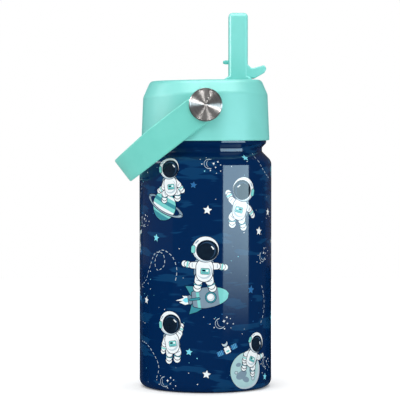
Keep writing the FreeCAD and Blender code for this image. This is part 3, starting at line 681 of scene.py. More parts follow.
def pointed_star(x: float, z: float, size: float, tips: int = 5, waist: float = 0.48,
                 turn: float = 90.0) -> Outline:
    """A star with a number of tips, its waist a share of its size."""
    return [(x + radius * math.cos(angle), z + radius * math.sin(angle))
            for step in range(2 * tips)
            for radius in (size if step % 2 == 0 else size * waist,)
            for angle in (math.radians(turn + 180 * step / tips),)]


def crescent(x: float, z: float, size: float, bite: float = 0.86, shift: float = 0.45,
             turn: float = 0.0) -> Outline:
    """A crescent that opens towards its turn, bitten by a smaller disc."""
    across = (shift ** 2 + 1 - bite ** 2) / (2 * shift)
    horn = math.degrees(math.acos(across))
    inner = math.degrees(math.atan2(math.sin(math.radians(horn)), across - shift))
    middle = (x + size * shift * math.cos(math.radians(turn)),
              z + size * shift * math.sin(math.radians(turn)))
    outside = oval(x, z, size, turn=turn, first=horn, last=360 - horn)
    inside = oval(*middle, size * bite, turn=turn, first=360 - inner, last=inner)
    return outside + inside[1:-1]


def disc_band(size: float, low: float, high: float) -> Outline:
    """The part of a disc about the origin between two heights, as shares of its radius."""
    bottom, top = math.degrees(math.asin(low)), math.degrees(math.asin(high))
    return oval(0, 0, size, first=bottom, last=top) + oval(0, 0, size, first=180 - top,
                                                           last=180 - bottom)


def ring_half(wide: float, high: float, thick: float, front: bool) -> Outline:
    """The front or back half of a flat ring seen at a slant."""
    first, last = (180, 360) if front else (0, 180)
    return (oval(0, 0, wide, high, first=first, last=last)
            + oval(0, 0, wide - thick, high - thick * high / wide, first=last, last=first))


def grown(points: Outline, margin: float) -> Outline:
    """An outline moved outwards all round by a margin, or inwards by a negative one."""
    points = anticlockwise(points)
    moved = []
    for before, here, after in zip(points[-1:] + points[:-1], points, points[1:] + points[:1]):
        into = Vector((here[0] - before[0], here[1] - before[1])).normalized()
        out = Vector((after[0] - here[0], after[1] - here[1])).normalized()
        side = Vector((into.y + out.y, -into.x - out.x))
        if side.length < 1e-6:
            side = Vector((into.x, into.y))
        side.normalize()
        reach = min(MITRE_LIMIT, 1 / max(0.3, side.dot(Vector((into.y, -into.x)))))
        moved.append((here[0] + side.x * margin * reach, here[1] + side.y * margin * reach))
    return moved


def triangulate(points: list[Vector], faces: list[list[int]]) -> tuple[Any, Any, Any, Any]:
    """Cut flat outlines, which may overlap, into triangles.

    Args:
        points: the outlines' corners, and loose points for the triangles to meet at.
        faces: each outline's corners.

    Returns:
        The flat points, the triangles, the given points that each flat one stands for, and the
        outlines that each triangle lies in.
    """
    flat, _, triangles, origins, _, owners = delaunay_2d_cdt(points, [], faces, 1, MERGE, True)
    return flat, triangles, origins, owners


@dataclass(frozen=True)
class Stance:
    """How a drawn astronaut holds its limbs: upper and lower angle, outwards from hanging."""

    left_arm: tuple[float, float]
    right_arm: tuple[float, float]
    left_leg: tuple[float, float]
    right_leg: tuple[float, float]


class Stances(Enum):
    """The stances that the print uses."""

    FLOATING = Stance((70, -20), (115, 25), (12, 18), (30, -45))
    WAVING = Stance((35, -15), (140, 20), (8, 4), (16, -30))
    BALANCING = Stance((88, 10), (92, -8), (14, -6), (18, 8))
    SITTING = Stance((30, 35), (48, -20), (62, -50), (70, -78))
    TUMBLING = Stance((120, -30), (60, 40), (40, -62), (14, 24))
    KNEELING = Stance((55, -60), (98, 30), (58, -66), (28, -8))


class Motif:
    """Shapes drawn about a motif's own middle and placed on the print."""

    def __init__(self, sheet: "NightSkyPrint", x: float, z: float, size: float = 1.0,
                 turn: float = 0.0, mirrored: bool = False) -> None:
        """Set where the motif goes.

        Args:
            sheet: the print that it is drawn on.
            x: its middle's place round the can, in millimetres.
            z: its middle's height along the can's profile.
            size: 1 for full size.
            turn: its lean in degrees, anticlockwise.
            mirrored: whether left and right are swapped.
        """
        self.sheet = sheet
        self.x, self.z, self.size = x, z, size
        self.cosine, self.sine = math.cos(math.radians(turn)), math.sin(math.radians(turn))
        self.side = -1.0 if mirrored else 1.0

    def fill(self, points: Outline, ink: Ink) -> None:
        """Print a shape in one ink, over what is already there."""
        placed = []
        for a, b in points:
            a, b = a * self.side * self.size, b * self.size
            placed.append((self.x + a * self.cosine - b * self.sine,
                           self.z + a * self.sine + b * self.cosine))
        self.sheet.print_shape(anticlockwise(placed), ink)

    def draw(self, points: Outline, ink: Ink, line: float = 0.34) -> None:
        """Print a shape with a dark line round it, its width in millimetres."""
        self.fill(grown(points, line / self.size), Ink.LINE)
        self.fill(points, ink)

    def draw_limb(self, x: float, z: float, side: float, bend: tuple[float, float],
                  lengths: tuple[float, float], radii: tuple[float, float, float],
                  band: Ink) -> None:
        """Draw an arm or a leg with its glove or boot.

        Args:
            x: where it starts.
            z: where it starts.
            side: -1 for the left, 1 for the right.
            bend: angle of the upper and then of the lower part, outwards from hanging.
            lengths: of the two parts.
            radii: at the start, the joint and the end.
            band: ink of the band at the wrist or ankle.
        """
        first = math.radians(bend[0])
        second = first + math.radians(bend[1])
        joint = (x + side * math.sin(first) * lengths[0], z - math.cos(first) * lengths[0])
        tip = (joint[0] + side * math.sin(second) * lengths[1],
               joint[1] - math.cos(second) * lengths[1])
        heading = Vector((side * math.sin(second), -math.cos(second)))
        hand = (tip[0] + heading.x * 1.5, tip[1] + heading.y * 1.5)
        self.draw(limb(*tip, radii[2], *hand, radii[2] * 1.08), Ink.WHITE)
        self.draw(limb(*joint, radii[1], *tip, radii[2]), Ink.WHITE)
        across = heading.orthogonal() * (radii[2] - 0.1)
        cuff = (tip[0] - heading.x * 0.2, tip[1] - heading.y * 0.2)
        self.fill(limb(cuff[0] - across.x, cuff[1] - across.y, 0.42,
                       cuff[0] + across.x, cuff[1] + across.y, 0.42), band)
        self.draw(limb(x, z, radii[0], *joint, radii[1]), Ink.WHITE)
        fold = Vector((joint[0] - x, joint[1] - z)).orthogonal().normalized() * radii[1] * 0.6
        self.fill(limb(joint[0] - fold.x, joint[1] - fold.y, 0.16,
                       joint[0] + fold.x, joint[1] + fold.y, 0.16), Ink.SLATE)

    def astronaut(self, stance: Stance) -> None:
        """Draw a space-suited figure, its middle at the middle of its helmet."""
        self.draw(soft_box(-5.6, -15.0, 5.0, -5.6, 2.0), Ink.SLATE)
        for side, bend in ((-1.0, stance.left_leg), (1.0, stance.right_leg)):
            self.draw_limb(side * 2.2, -14.4, side, bend, (2.8, 2.5), (2.4, 2.15, 1.9), Ink.TEAL)
        for side, bend in ((-1.0, stance.left_arm), (1.0, stance.right_arm)):
            self.draw_limb(side * 3.6, -8.9, side, bend, (3.2, 2.9), (1.85, 1.65, 1.45), Ink.MINT)
        self.draw(limb(0, -9.8, 4.6, 0, -13.2, 4.3), Ink.WHITE)
        self.fill(crescent(0, -11.8, 4.2, 0.95, 0.2, 135), Ink.SHADE)
        self.draw(soft_box(-1.9, -13.4, 2.7, -10.4, 0.6), Ink.MINT, 0.22)
        self.fill(soft_box(-1.3, -12.0, 0.5, -11.0, 0.2), Ink.LINE)
        self.fill(soft_box(0.9, -12.0, 2.1, -11.0, 0.2), Ink.WHITE)
        self.fill(soft_box(-1.3, -13.0, 2.1, -12.5, 0.2), Ink.TEAL)
        self.draw(oval(0, 0, 7.1, 6.8), Ink.WHITE)
        self.fill(crescent(0, 0, 6.9, 0.98, 0.09, 60), Ink.SHADE)
        self.draw(soft_box(-7.7, -2.4, -5.7, 1.6, 0.9), Ink.MINT, 0.25)
        self.draw(oval(0.9, -0.6, 5.7, 5.3), Ink.VISOR, 0.3)
        self.fill(crescent(0.9, -0.6, 4.6, 0.95, 0.14, -140), Ink.DUSK)
        self.fill(limb(3.2, 1.6, 0.3, 4.2, 0.4, 0.4), Ink.WHITE)
        self.fill(limb(-5.4, 3.0, 0.3, -4.2, 4.4, 0.3), Ink.SLATE)

    def ringed_planet(self) -> None:
        """Draw a striped planet in a flat ring."""
        self.draw(ring_half(13.0, 3.6, 2.1, front=False), Ink.SLATE)
        self.draw(oval(0, 0, 7.8), Ink.MINT)
        for low, high, ink in ((-0.98, -0.62, Ink.TEAL), (-0.36, -0.12, Ink.WHITE),
                               (0.16, 0.42, Ink.TEAL), (0.66, 0.82, Ink.WHITE)):
            self.fill(disc_band(7.8, low, high), ink)
        self.draw(ring_half(13.0, 3.6, 2.1, front=True), Ink.SLATE)
        self.fill(ring_half(12.3, 3.35, 0.4, front=True), Ink.SHADE)

    def rocket(self) -> None:
        """Draw a stubby rocket that flies towards its right."""
        self.draw([(-9.5, 2.0), (-9.5, -2.0), (-12.4, -2.4), (-15.6, -0.7), (-13.4, -0.2),
                   (-17.6, 0.5), (-12.6, 1.4), (-13.4, 2.6)], Ink.WHITE)
        self.fill([(-9.5, 1.2), (-9.5, -1.2), (-12.0, -1.2), (-13.6, 0.2), (-12.0, 1.3)], Ink.CYAN)
        self.draw(soft_box(-10.2, -2.4, -7.2, 2.4, 0.6), Ink.SLATE)
        for side in (-1, 1):
            self.draw([(-8.6, side * 2.4), (-10.8, side * 7.6), (-6.8, side * 7.0),
                       (-1.6, side * 4.8)], Ink.TEAL)
        hull = [(x, self._hull(x)) for x in [step * 0.8 - 8.0 for step in range(26)]]
        self.draw(hull + [(x, -z) for x, z in reversed(hull[:-1])], Ink.SLATE)
        nose = [point for point in hull if point[0] > 6.2]
        self.fill(nose + [(x, -z) for x, z in reversed(nose[:-1])], Ink.MINT)
        belt = [point for point in hull if -5.9 < point[0] < -3.9]
        self.fill(belt + [(x, -z) for x, z in reversed(belt)], Ink.MINT)
        self.draw(oval(2.0, -0.2, 2.9), Ink.TEAL, 0.25)
        self.draw(oval(2.0, -0.2, 2.0), Ink.WHITE, 0.2)
        self.fill(crescent(2.0, -0.2, 1.7, 0.9, 0.3, 120), Ink.SHADE)
        self.draw(limb(-9.2, 0, 0.5, -4.4, 0, 0.55), Ink.TEAL, 0.25)

    @staticmethod
    def _hull(x: float) -> float:
        """Half the rocket's height at a place along it."""
        if x > -1:
            return 5.5 * math.sqrt(max(0.0, 1 - ((x + 1) / 13.05) ** 2))
        return 5.5 * (1 - 0.32 * ((x + 1) / 7) ** 2)

    def moon(self) -> None:
        """Draw a cratered moon."""
        self.draw(oval(0, 0, 10.2), Ink.PALE)
        self.fill(crescent(0, 0, 10.2, 0.97, 0.14, 145), Ink.SHADE)
        for x, z, wide, high, turn in ((-3.4, -2.0, 3.6, 2.2, 25), (-0.6, -4.6, 2.4, 1.5, -20),
                                       (3.4, 1.0, 2.2, 1.5, 60), (-5.4, 3.6, 1.6, 1.1, 10)):
            self.fill(oval(x, z, wide, high, turn), Ink.SLATE)
        for x, z, size in ((-1.6, 4.8, 1.3), (4.6, -4.4, 1.1), (-6.8, -0.6, 0.8), (1.2, 7.4, 0.8)):
            self.draw(oval(x, z, size, size * 0.86), Ink.SHADE, 0.2)

    def satellite(self) -> None:
        """Draw a small satellite with two panels and a dish."""
        for side in (-1, 1):
            self.fill(limb(side * 2.0, 0, 0.3, side * 4.0, 0, 0.3), Ink.SHADE)
            left, right = sorted((side * 3.4, side * 8.6))
            self.draw(soft_box(left, -1.9, right, 1.9, 0.2), Ink.BLUE, 0.25)
            for step in (1, 2, 3):
                line = left + (right - left) * step / 4
                self.fill(soft_box(line - 0.12, -1.85, line + 0.12, 1.85, 0.05), Ink.CYAN)
        self.draw(soft_box(-2.2, -2.5, 2.2, 2.5, 0.6), Ink.WHITE)
        self.fill(soft_box(-1.3, -1.6, 1.3, -0.2, 0.3), Ink.MINT)
        self.draw(limb(0, 2.6, 0.3, 0, 4.2, 0.3), Ink.SHADE, 0.2)
        self.draw(crescent(0, 5.4, 2.2, 0.95, 0.75, 90), Ink.SHADE, 0.25)

    def small_planet(self) -> None:
        """Draw a plain little planet with two bands."""
        self.draw(oval(0, 0, 4.3), Ink.CYAN)
        self.fill(disc_band(4.3, -0.7, -0.32), Ink.BLUE)
        self.fill(disc_band(4.3, 0.1, 0.38), Ink.TEAL)

    def hollow_crescent(self) -> None:
        """Draw a crescent as a line, with small stars in its mouth and fine dots about it."""
        self.fill(crescent(0, 0, 2.9, 0.88, 0.42, 20), Ink.SHADE)
        self.fill(crescent(-0.2, -0.08, 2.5, 0.95, 0.4, 20), Ink.SKY)
        for x, z, size in ((2.2, 0.8, 0.95), (4.1, 2.5, 0.7), (3.9, -0.8, 0.6)):
            self.fill(pointed_star(x, z, size, 4, 0.34), Ink.WHITE)
        for x, z, size in ((-3.7, -1.6, 0.3), (-5.6, 0.7, 0.22), (6.0, 1.4, 0.26),
                           (7.2, -1.7, 0.3), (1.8, -3.3, 0.34), (-2.8, 3.1, 0.2), (5.4, -3.6, 0.2)):
            self.fill(oval(x, z, size), Ink.WHITE)

    def star(self, ink: Ink) -> None:
        """Draw a five-pointed star with a line round it."""
        self.draw(pointed_star(0, 0, 2.5), ink, 0.28)

    def trail(self, points: Outline) -> None:
        """Draw a smooth line of dashes through some points."""
        path: list[Vector] = []
        ends = [points[0], *points, points[-1]]
        for first, here, there, last in zip(ends, ends[1:], ends[2:], ends[3:]):
            a, b, c, d = (Vector(point) for point in (first, here, there, last))
            for step in range(TRAIL_SAMPLES):
                t = step / TRAIL_SAMPLES
                path.append((2 * b + (c - a) * t + (2 * a - 5 * b + 4 * c - d) * t ** 2
                             + (3 * b - a - 3 * c + d) * t ** 3) / 2)
        travelled, start = 0.0, path[0]
        for here, there in zip(path, path[1:]):
            travelled += (there - here).length
            if travelled > DASH_PITCH:
                travelled, start = 0.0, there
            elif travelled > DASH_LENGTH and start is not None:
                self.fill(limb(*start, DASH_HALF, *there, DASH_HALF), Ink.SHADE)
                start = None


# ---------------------------------------------------------------- the printed can
class NightSkyPrint:
    """The print on the can, as ink shapes on the can's skin rolled out flat.

    Round the can is x, with 0 in front, and z is the length along the profile, which is the
    height on the straight wall.
    """

    DOTS = 230
    DOT_SEED = 7
    DOT_MARGIN = 1.5        # keeps the dots off the seam, mm

    def __init__(self, girth: float) -> None:
        """Lay out the whole print.

        Args:
            girth: length round the can, in millimetres.
        """
        self.girth = girth
        self.shapes: list[tuple[Outline, Ink]] = []
        self._scatter_stars()
        for repeat in (0, 1):
            self._lay_out(repeat * girth / 2, bool(repeat))

    def print_shape(self, points: Outline, ink: Ink) -> None:
        """Add a shape over the ones before."""
        self.shapes.append((points, ink))

    def _scatter_stars(self) -> None:
        """Scatter fine dots of light over the whole can."""
        chance = random.Random(self.DOT_SEED)
        for _ in range(self.DOTS):
            x = chance.uniform(LEFT_EDGE + self.DOT_MARGIN, LEFT_EDGE + self.girth - self.DOT_MARGIN)
            z = chance.uniform(3.0, 128.0)
            ink = chance.choice((Ink.WHITE, Ink.CYAN, Ink.BLUE, Ink.SLATE))
            self.print_shape(anticlockwise(oval(x, z, chance.uniform(0.16, 0.34))), ink)

    def _lay_out(self, shift: float, second: bool) -> None:
        """Lay out one repeat of the print, half the way round the can.

        Args:
            shift: how far round it goes.
            second: whether this is the second repeat, whose figures swap stances.
        """
        def at(x: float, z: float, size: float = 1.0, turn: float = 0.0,
               mirrored: bool = False) -> Motif:
            """A motif in this repeat."""
            return Motif(self, x + shift, z, size, turn, mirrored)

        pick: Callable[[Stances, Stances], Stance] = (
            lambda first, other: (other if second else first).value)
        for points in (
                [(-46, 57), (-40, 60), (-36, 67), (-31, 75), (-25, 75), (-24, 69), (-29, 66),
                 (-31, 71), (-26, 77), (-19, 74), (-16, 67), (-17, 60)],
                [(-46, 26), (-39, 25), (-32, 20), (-28, 13), (-31, 5)],
                [(33.5, 131), (33, 127), (36, 122), (41, 118), (46, 115.5)],
                [(35.5, 37), (38.5, 43), (38.8, 50), (36, 58)],
                [(-53, 103), (-48, 108), (-46.5, 115), (-50, 122)]):
            at(0.0, 0.0).trail(points)
        for x, z, turn in ((2.0, 124.0, -20), (37.0, 73.0, 35), (8.0, 38.0, 10), (-24.0, 5.6, 0),
                           (-44.0, 92.0, 15), (39.8, 15.0, -15)):
            at(x, z, 1.0, turn, second).hollow_crescent()
        for x, z, size, ink in ((24.5, 127.6, 0.95, Ink.CYAN), (1.0, 99.0, 1.0, Ink.WHITE),
                                (-30.0, 83.5, 0.9, Ink.CYAN), (33.5, 87.0, 1.0, Ink.WHITE),
                                (27.0, 55.5, 1.0, Ink.BLUE), (0.5, 10.5, 0.95, Ink.WHITE),
                                (-39.5, 49.0, 0.9, Ink.WHITE), (-6.5, 112.5, 0.8, Ink.BLUE),
                                (-54.0, 66.5, 0.95, Ink.CYAN), (-48.5, 75.0, 0.85, Ink.BLUE),
                                (44.0, 97.0, 0.9, Ink.WHITE), (-37.0, 124.0, 0.85, Ink.WHITE),
                                (-9.0, 22.5, 0.8, Ink.CYAN), (40.0, 7.0, 0.85, Ink.CYAN)):
            at(x, z, size, 12 if second else -8).star(ink)
        at(-24.5, 101.0, 1.0, -24 if not second else 20).ringed_planet()
        at(-21.0, 121.5, 0.86, 6).astronaut(pick(Stances.SITTING, Stances.WAVING))
        at(22.0, 110.0, 0.96, -14, True).astronaut(pick(Stances.FLOATING, Stances.TUMBLING))
        at(0.8, 52.0, 1.0, 8).rocket()
        at(0.0, 78.0, 1.0, -3, second).astronaut(pick(Stances.BALANCING, Stances.KNEELING))
        at(-20.5, 37.7, 0.94, 8).astronaut(pick(Stances.WAVING, Stances.FLOATING))
        at(24.0, 11.6, 1.0, 0, second).moon()
        at(31.5, 26.5, 0.8, -24).astronaut(pick(Stances.KNEELING, Stances.SITTING))
        at(12.0, 23.5, 0.72, 24).satellite()
        at(-60.0, 38.0, 1.0, -20).small_planet()
        at(-56.5, 89.0, 0.7, 16, True).astronaut(pick(Stances.TUMBLING, Stances.BALANCING))
        at(-60.5, 119.0, 0.85, 30).small_planet()
        at(-53.5, 52.0, 0.75, -30).satellite()


@dataclass
class PrintedCan:
    """The outer can with its print, which stands for the CAD shell."""

    body_radius: float = 36.5
    foot_round: float = 4.5
    body_height: float = 124.8
    neck_radius: float = 31.3
    rim_radius: float = 33.6
    foot_ring_inner: float = 30.0
    neck_height: float = 2.3
    lip_height: float = 1.55
    shoulder_round: float = 5.0
    neck_round: float = 1.0     # inside of each bend of the neck
    wall: float = 0.6
    columns: int = 192
    row_step: float = 1.6
    inside_step: float = 12.0

    def __post_init__(self) -> None:
        """Work out the outside profile and the girth."""
        shoulder = self.body_radius - self.neck_radius
        flare = self.rim_radius - self.neck_radius
        self.neck_z = self.body_height + shoulder
        self.flare_z = self.neck_z + self.neck_height
        self.flare_top_z = self.flare_z + flare
        self.weld_z = self.flare_top_z + self.lip_height
        self.girth = 2 * math.pi * self.body_radius
        foot_length = self.foot_round * math.pi / 2
        self.outside = Profile([
            (self.body_radius - self.foot_round, 0, 0),
            (self.body_radius, 0, self.foot_round),
            (self.body_radius, self.body_height, self.shoulder_round),
            (self.neck_radius, self.neck_z, self.neck_round),
            (self.neck_radius, self.flare_z, self.neck_round),
            (self.rim_radius, self.flare_top_z, self.neck_round + self.wall),
            (self.rim_radius, self.weld_z, 0),
        ], self.foot_round - foot_length)

    def build(self) -> bpy.types.Object:
        """Make the can and hang it on the bottle.

        Returns:
            The can.
        """
        mesh = FacedMesh()
        low, high = self._add_printed_skin(mesh)
        self._add_inside(mesh, low, high)
        steel = DrawnSteel("drawn_steel_unpainted", "#B9B6B2", 0.3, 0.35, 0.003).build()
        can = mesh.to_object("printed_can", [ink.build() for ink in INKS] + [steel])
        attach(can, "bottle")
        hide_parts("outer_shell")
        log.info("printed_can: %d faces", len(mesh.faces))
        return can

    def _rolled(self, x: float, along: float) -> tuple[Vector, Vector]:
        """Point and normal of a place on the flat print, rolled onto the can."""
        (radius, height), (out, up) = self.outside.at(along)
        angle = x / self.body_radius
        sine, cosine = math.sin(angle), math.cos(angle)
        return (Vector((radius * sine, -radius * cosine, height)),
                Vector((out * sine, -out * cosine, up)))

    def _rows(self) -> list[float]:
        """Lengths along the profile at which the skin has a row of points."""
        rows: list[float] = []
        for run in self.outside.runs:
            rows.extend(run.steps(self.row_step)[:-1])
        return rows + [self.outside.end]

    def _add_printed_skin(self, mesh: FacedMesh) -> tuple[list[int], list[int]]:
        """Cut the flat skin along every printed shape, and roll it up.

        Args:
            mesh: what the skin is added to.

        Returns:
            The points round its foot and round its rim, in order.
        """
        rows = self._rows()
        places = [LEFT_EDGE + self.girth * column / self.columns
                  for column in range(self.columns + 1)]
        points: list[Vector] = []
        faces: list[list[int]] = []

        def add_outline(outline: Outline) -> None:
            """Add one face's outline."""
            faces.append(list(range(len(points), len(points) + len(outline))))
            points.extend(Vector(point) for point in outline)

        add_outline([(x, rows[0]) for x in places]
                    + [(places[-1], along) for along in rows[1:]]
                    + [(x, rows[-1]) for x in reversed(places[:-1])]
                    + [(places[0], along) for along in reversed(rows[1:-1])])
        points.extend(Vector((x, along)) for along in rows[1:-1] for x in places[1:-1])
        shapes = NightSkyPrint(self.girth).shapes
        for outline, _ in shapes:
            add_outline(self._subdivided(outline))
        inks = [Ink.SKY] + [ink for _, ink in shapes]
        flat, triangles, _, owners = triangulate(points, faces)

        right = places[-1]
        by_height = [sorted((point.y, index) for index, point in enumerate(flat)
                            if abs(point.x - edge) < SNAP) for edge in (LEFT_EDGE, right)]
        twin = {there: here for (_, here), (_, there) in zip(*by_height, strict=True)}
        numbers, normals = [], []
        for index, point in enumerate(flat):
            rolled, normal = self._rolled(LEFT_EDGE if index in twin else point.x, point.y)
            normals.append(normal)
            numbers.append(-1 if index in twin else mesh.add_point(rolled))
        for there, here in twin.items():
            numbers[there] = numbers[here]
        for triangle, owner in zip(triangles, owners):
            corners = [numbers[index] for index in triangle]
            if len(set(corners)) == 3:
                mesh.add_face(corners, [normals[index] for index in triangle],
                              inks[max(owner)].value)
        edges = []
        for level in (rows[0], rows[-1]):
            ring = sorted((point.x, index) for index, point in enumerate(flat)
                          if abs(point.y - level) < SNAP and index not in twin)
            edges.append([numbers[index] for _, index in ring])
        return edges[0], edges[1]

    @staticmethod
    def _subdivided(outline: Outline) -> Outline:
        """Add points on long sides, so that they follow the can's curve."""
        dense: Outline = []
        for (x1, z1), (x2, z2) in zip(outline, outline[1:] + outline[:1]):
            pieces = max(1, math.ceil(math.hypot(x2 - x1, z2 - z1) / LONGEST_SIDE))
            dense.extend((x1 + (x2 - x1) * step / pieces, z1 + (z2 - z1) * step / pieces)
                         for step in range(pieces))
        return dense

    def _add_inside(self, mesh: FacedMesh, foot: list[int], rim: list[int]) -> None:
        """Close the can from its rim down the inside to its foot ring.

        Args:
            mesh: what the inside is added to.
            foot: the skin's lowest points.
            rim: the skin's highest points.
        """
        mitre = self.wall * math.tan(math.radians(22.5))
        inside = Profile([
            (self.rim_radius, self.weld_z, 0),
            (self.rim_radius - self.wall, self.weld_z, 0),
            (self.rim_radius - self.wall, self.flare_top_z + mitre, self.neck_round),
            (self.neck_radius - self.wall, self.flare_z + mitre, self.neck_round + self.wall),
            (self.neck_radius - self.wall, self.neck_z - mitre, self.neck_round + self.wall),
            (self.body_radius - self.wall, self.body_height - mitre,
             self.shoulder_round - self.wall),
            (self.body_radius - self.wall, self.wall, self.foot_round - self.wall),
            (self.foot_ring_inner, self.wall, 0),
            (self.foot_ring_inner, 0, 0),
            (self.body_radius - self.foot_round, 0, 0),
        ])
        angles = [(LEFT_EDGE + self.girth * column / self.columns) / self.body_radius
                  for column in range(self.columns)]

        def ring(point: Vector) -> list[int]:
            """A ring of points at one place on the profile."""
            return [mesh.add_point(Vector((point.x * math.sin(angle), -point.x * math.cos(angle),
                                           point.y))) for angle in angles]

        last = rim
        for run in inside.runs:
            steps = run.steps(self.inside_step)
            for here, there in zip(steps, steps[1:]):
                closing = run is inside.runs[-1] and there == steps[-1]
                following = foot if closing else ring(run.at(there)[0])
                for column, angle in enumerate(angles):
                    after = (column + 1) % self.columns
                    corners = [last[column], last[after], following[after], following[column]]
                    sides = []
                    for turn, along in ((angle, here), (angles[after], here),
                                        (angles[after], there), (angle, there)):
                        out, up = run.at(along)[1]
                        sides.append(Vector((out * math.sin(turn), -out * math.cos(turn), up)))
                    mesh.add_face(corners, sides, len(INKS))
                last = following


# ---------------------------------------------------------------- the carry strap
@dataclass
class CarryStrap:
    """The U-shaped band, bent from a flat strip with rounded edges, hung at its angle."""

    pivot_z: float = PIVOT_Z
    width: float = 16.5
    thickness: float = 2.6
    reach: float = 58.2
    corner_radius: float = 26.0
    end_drop: float = 2.0
    hang: float = 37.5
    hole_radius: float = 4.06
    edge_round: float = 0.85
    edge_steps: int = 6         # facets across each rounded edge
    face_rows: int = 9          # rows of triangles across each face
    hole_margin: float = 0.5    # plain rim round each hole, free of loose points
    end_short: float = 0.05     # how little each round end stops short of a half circle
    slope_start: float = 0.55   # share of the reach where the upper edge starts to come down
    slope_ease: float = 3.0     # length to either side over which it bends down
    step: float = 1.1

    def __post_init__(self) -> None:
        """Work out the band's middle line from the CAD strap's own width across."""
        self.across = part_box("carry_strap")[1].y / MM - self.thickness / 2
        self.bend = self.corner_radius + self.thickness / 2
        self.far = self.reach - self.thickness / 2
        self.straight = self.far - self.bend
        self.arc = self.bend * math.pi / 2
        self.end = 2 * (self.across - self.bend)
        self.total = 2 * (self.straight + self.arc) + self.end

    def build(self) -> bpy.types.Object:
        """Make the strap and hang it on the handle's body.

        Returns:
            The strap.
        """
        mesh = FacedMesh()
        outline = self._outline()
        half = self.thickness / 2
        loops: list[tuple[list[int], list[Vector]]] = []
        for level, margin, lean in self._edge_levels(half):
            points = grown(outline, -margin)
            sides = self._outward(points)
            numbers, normals = [], []
            for (along, height), side in zip(points, sides):
                numbers.append(mesh.add_point(self._bent(along, height, level)))
                normals.append(self._bent_normal(along, side, lean))
            loops.append((numbers, normals))
        for (here, here_normals), (there, there_normals) in zip(loops, loops[1:]):
            for index in range(len(here)):
                after = (index + 1) % len(here)
                mesh.add_face([here[index], here[after], there[after], there[index]],
                              [here_normals[index], here_normals[after],
                               there_normals[after], there_normals[index]])
        holes = [oval(along, 0, self.hole_radius) for along in (0.0, self.total)]
        rims = []
        for level, (loop, _) in ((-half, loops[0]), (half, loops[-1])):
            rims.append(self._add_face_sheet(mesh, level, loop, grown(outline, -self.edge_round),
                                             holes))
        self._add_hole_walls(mesh, rims, holes)
        finish = SoftTouchRubber("soft_touch_elastomer", "#6BCEC1", "#66CABD", 0.52)
        strap = mesh.to_object("carry_band", [finish.build()])
        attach(strap, "handle")
        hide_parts("carry_strap")
        log.info("carry_band: %d faces", len(mesh.faces))
        return strap

    def _edge_levels(self, half: float) -> list[tuple[float, float, float]]:
        """Level through the thickness, set-in and lean of each loop round the rounded edges."""
        turns = [90 - 90 * step / self.edge_steps for step in range(self.edge_steps + 1)]
        back = [(-half + self.edge_round * (1 - math.sin(math.radians(turn))),
                 self.edge_round * (1 - math.cos(math.radians(turn))), -turn) for turn in turns]
        front = [(-level, margin, -lean) for level, margin, lean in reversed(back)]
        return back + front

    def _top(self, along: float) -> float:
        """Height of the upper edge: level near the pivots, coming down to the far end."""
        half = self.width / 2
        start = self.slope_start * self.reach
        slope = self.end_drop / (self.reach - start)
        ease = self.slope_ease
        past = -self._middle(along)[0].x - start
        if past < -ease:
            return half
        if past < ease:
            return half - slope * (past + ease) ** 2 / (4 * ease)
        return half - slope * past

    def _outline(self) -> Outline:
        """The strip's outline, flat: length from the rear pivot, and height."""
        half = self.width / 2
        round_end = half - self.end_short
        count = round(self.total / self.step)
        stations = [self.total * step / count for step in range(count + 1)]
        bottom = [(along, -half) for along in stations[1:-1]]
        top = [(along, self._top(along)) for along in reversed(stations[1:-1])]
        return (oval(0, 0, round_end, first=90, last=270) + bottom
                + oval(self.total, 0, round_end, first=-90, last=90) + top)

    @staticmethod
    def _outward(points: Outline) -> list[Vector]:
        """Direction out of an anticlockwise outline at each of its points."""
        sides = []
        for before, after in zip(points[-1:] + points[:-1], points[1:] + points[:1]):
            sides.append(Vector((after[1] - before[1], before[0] - after[0])).normalized())
        return sides

    def _middle(self, along: float) -> tuple[Vector, Vector, Vector]:
        """Point, heading and outward direction of the band's middle line, seen from above."""
        mirrored = along > self.total / 2
        length = self.total - along if mirrored else along
        if length <= self.straight:
            point, ahead = Vector((-length, self.across)), Vector((-1, 0))
        elif length <= self.straight + self.arc:
            turn = (length - self.straight) / self.bend
            centre = Vector((-self.straight, self.across - self.bend))
            point = centre + Vector((-math.sin(turn), math.cos(turn))) * self.bend
            ahead = Vector((-math.cos(turn), -math.sin(turn)))
        else:
            past = length - self.straight - self.arc
            point, ahead = Vector((-self.far, self.across - self.bend - past)), Vector((0, -1))
        if mirrored:
            point, ahead = Vector((point.x, -point.y)), Vector((-ahead.x, ahead.y))
        return point, ahead, Vector((ahead.y, -ahead.x))

    def _hung(self, point: Vector) -> Vector:
        """Turn a level direction or place down by the hang angle, about the pivots."""
        angle = math.radians(-self.hang)
        return Vector((point.x * math.cos(angle) + point.z * math.sin(angle), point.y,
                       -point.x * math.sin(angle) + point.z * math.cos(angle)))

    def _bent(self, along: float, height: float, level: float) -> Vector:
        """Where a place in the flat strip ends up."""
        point, _, out = self._middle(along)
        level_point = Vector((point.x + out.x * level, point.y + out.y * level, height))
        return self._hung(level_point) + Vector((0, 0, self.pivot_z))

    def _bent_normal(self, along: float, side: Vector, lean: float) -> Vector:
        """Normal of the rounded edge.

        Args:
            along: place along the strip.
            side: direction out of the flat outline.
            lean: -90 on the inside face, 0 on the edge, 90 on the outside face.

        Returns:
            The normal once the strip is bent and hung.
        """
        _, ahead, out = self._middle(along)
        share, rise = math.cos(math.radians(lean)), math.sin(math.radians(lean))
        flat = Vector((ahead.x * side.x * share + out.x * rise,
                       ahead.y * side.x * share + out.y * rise, side.y * share))
        return self._hung(flat).normalized()

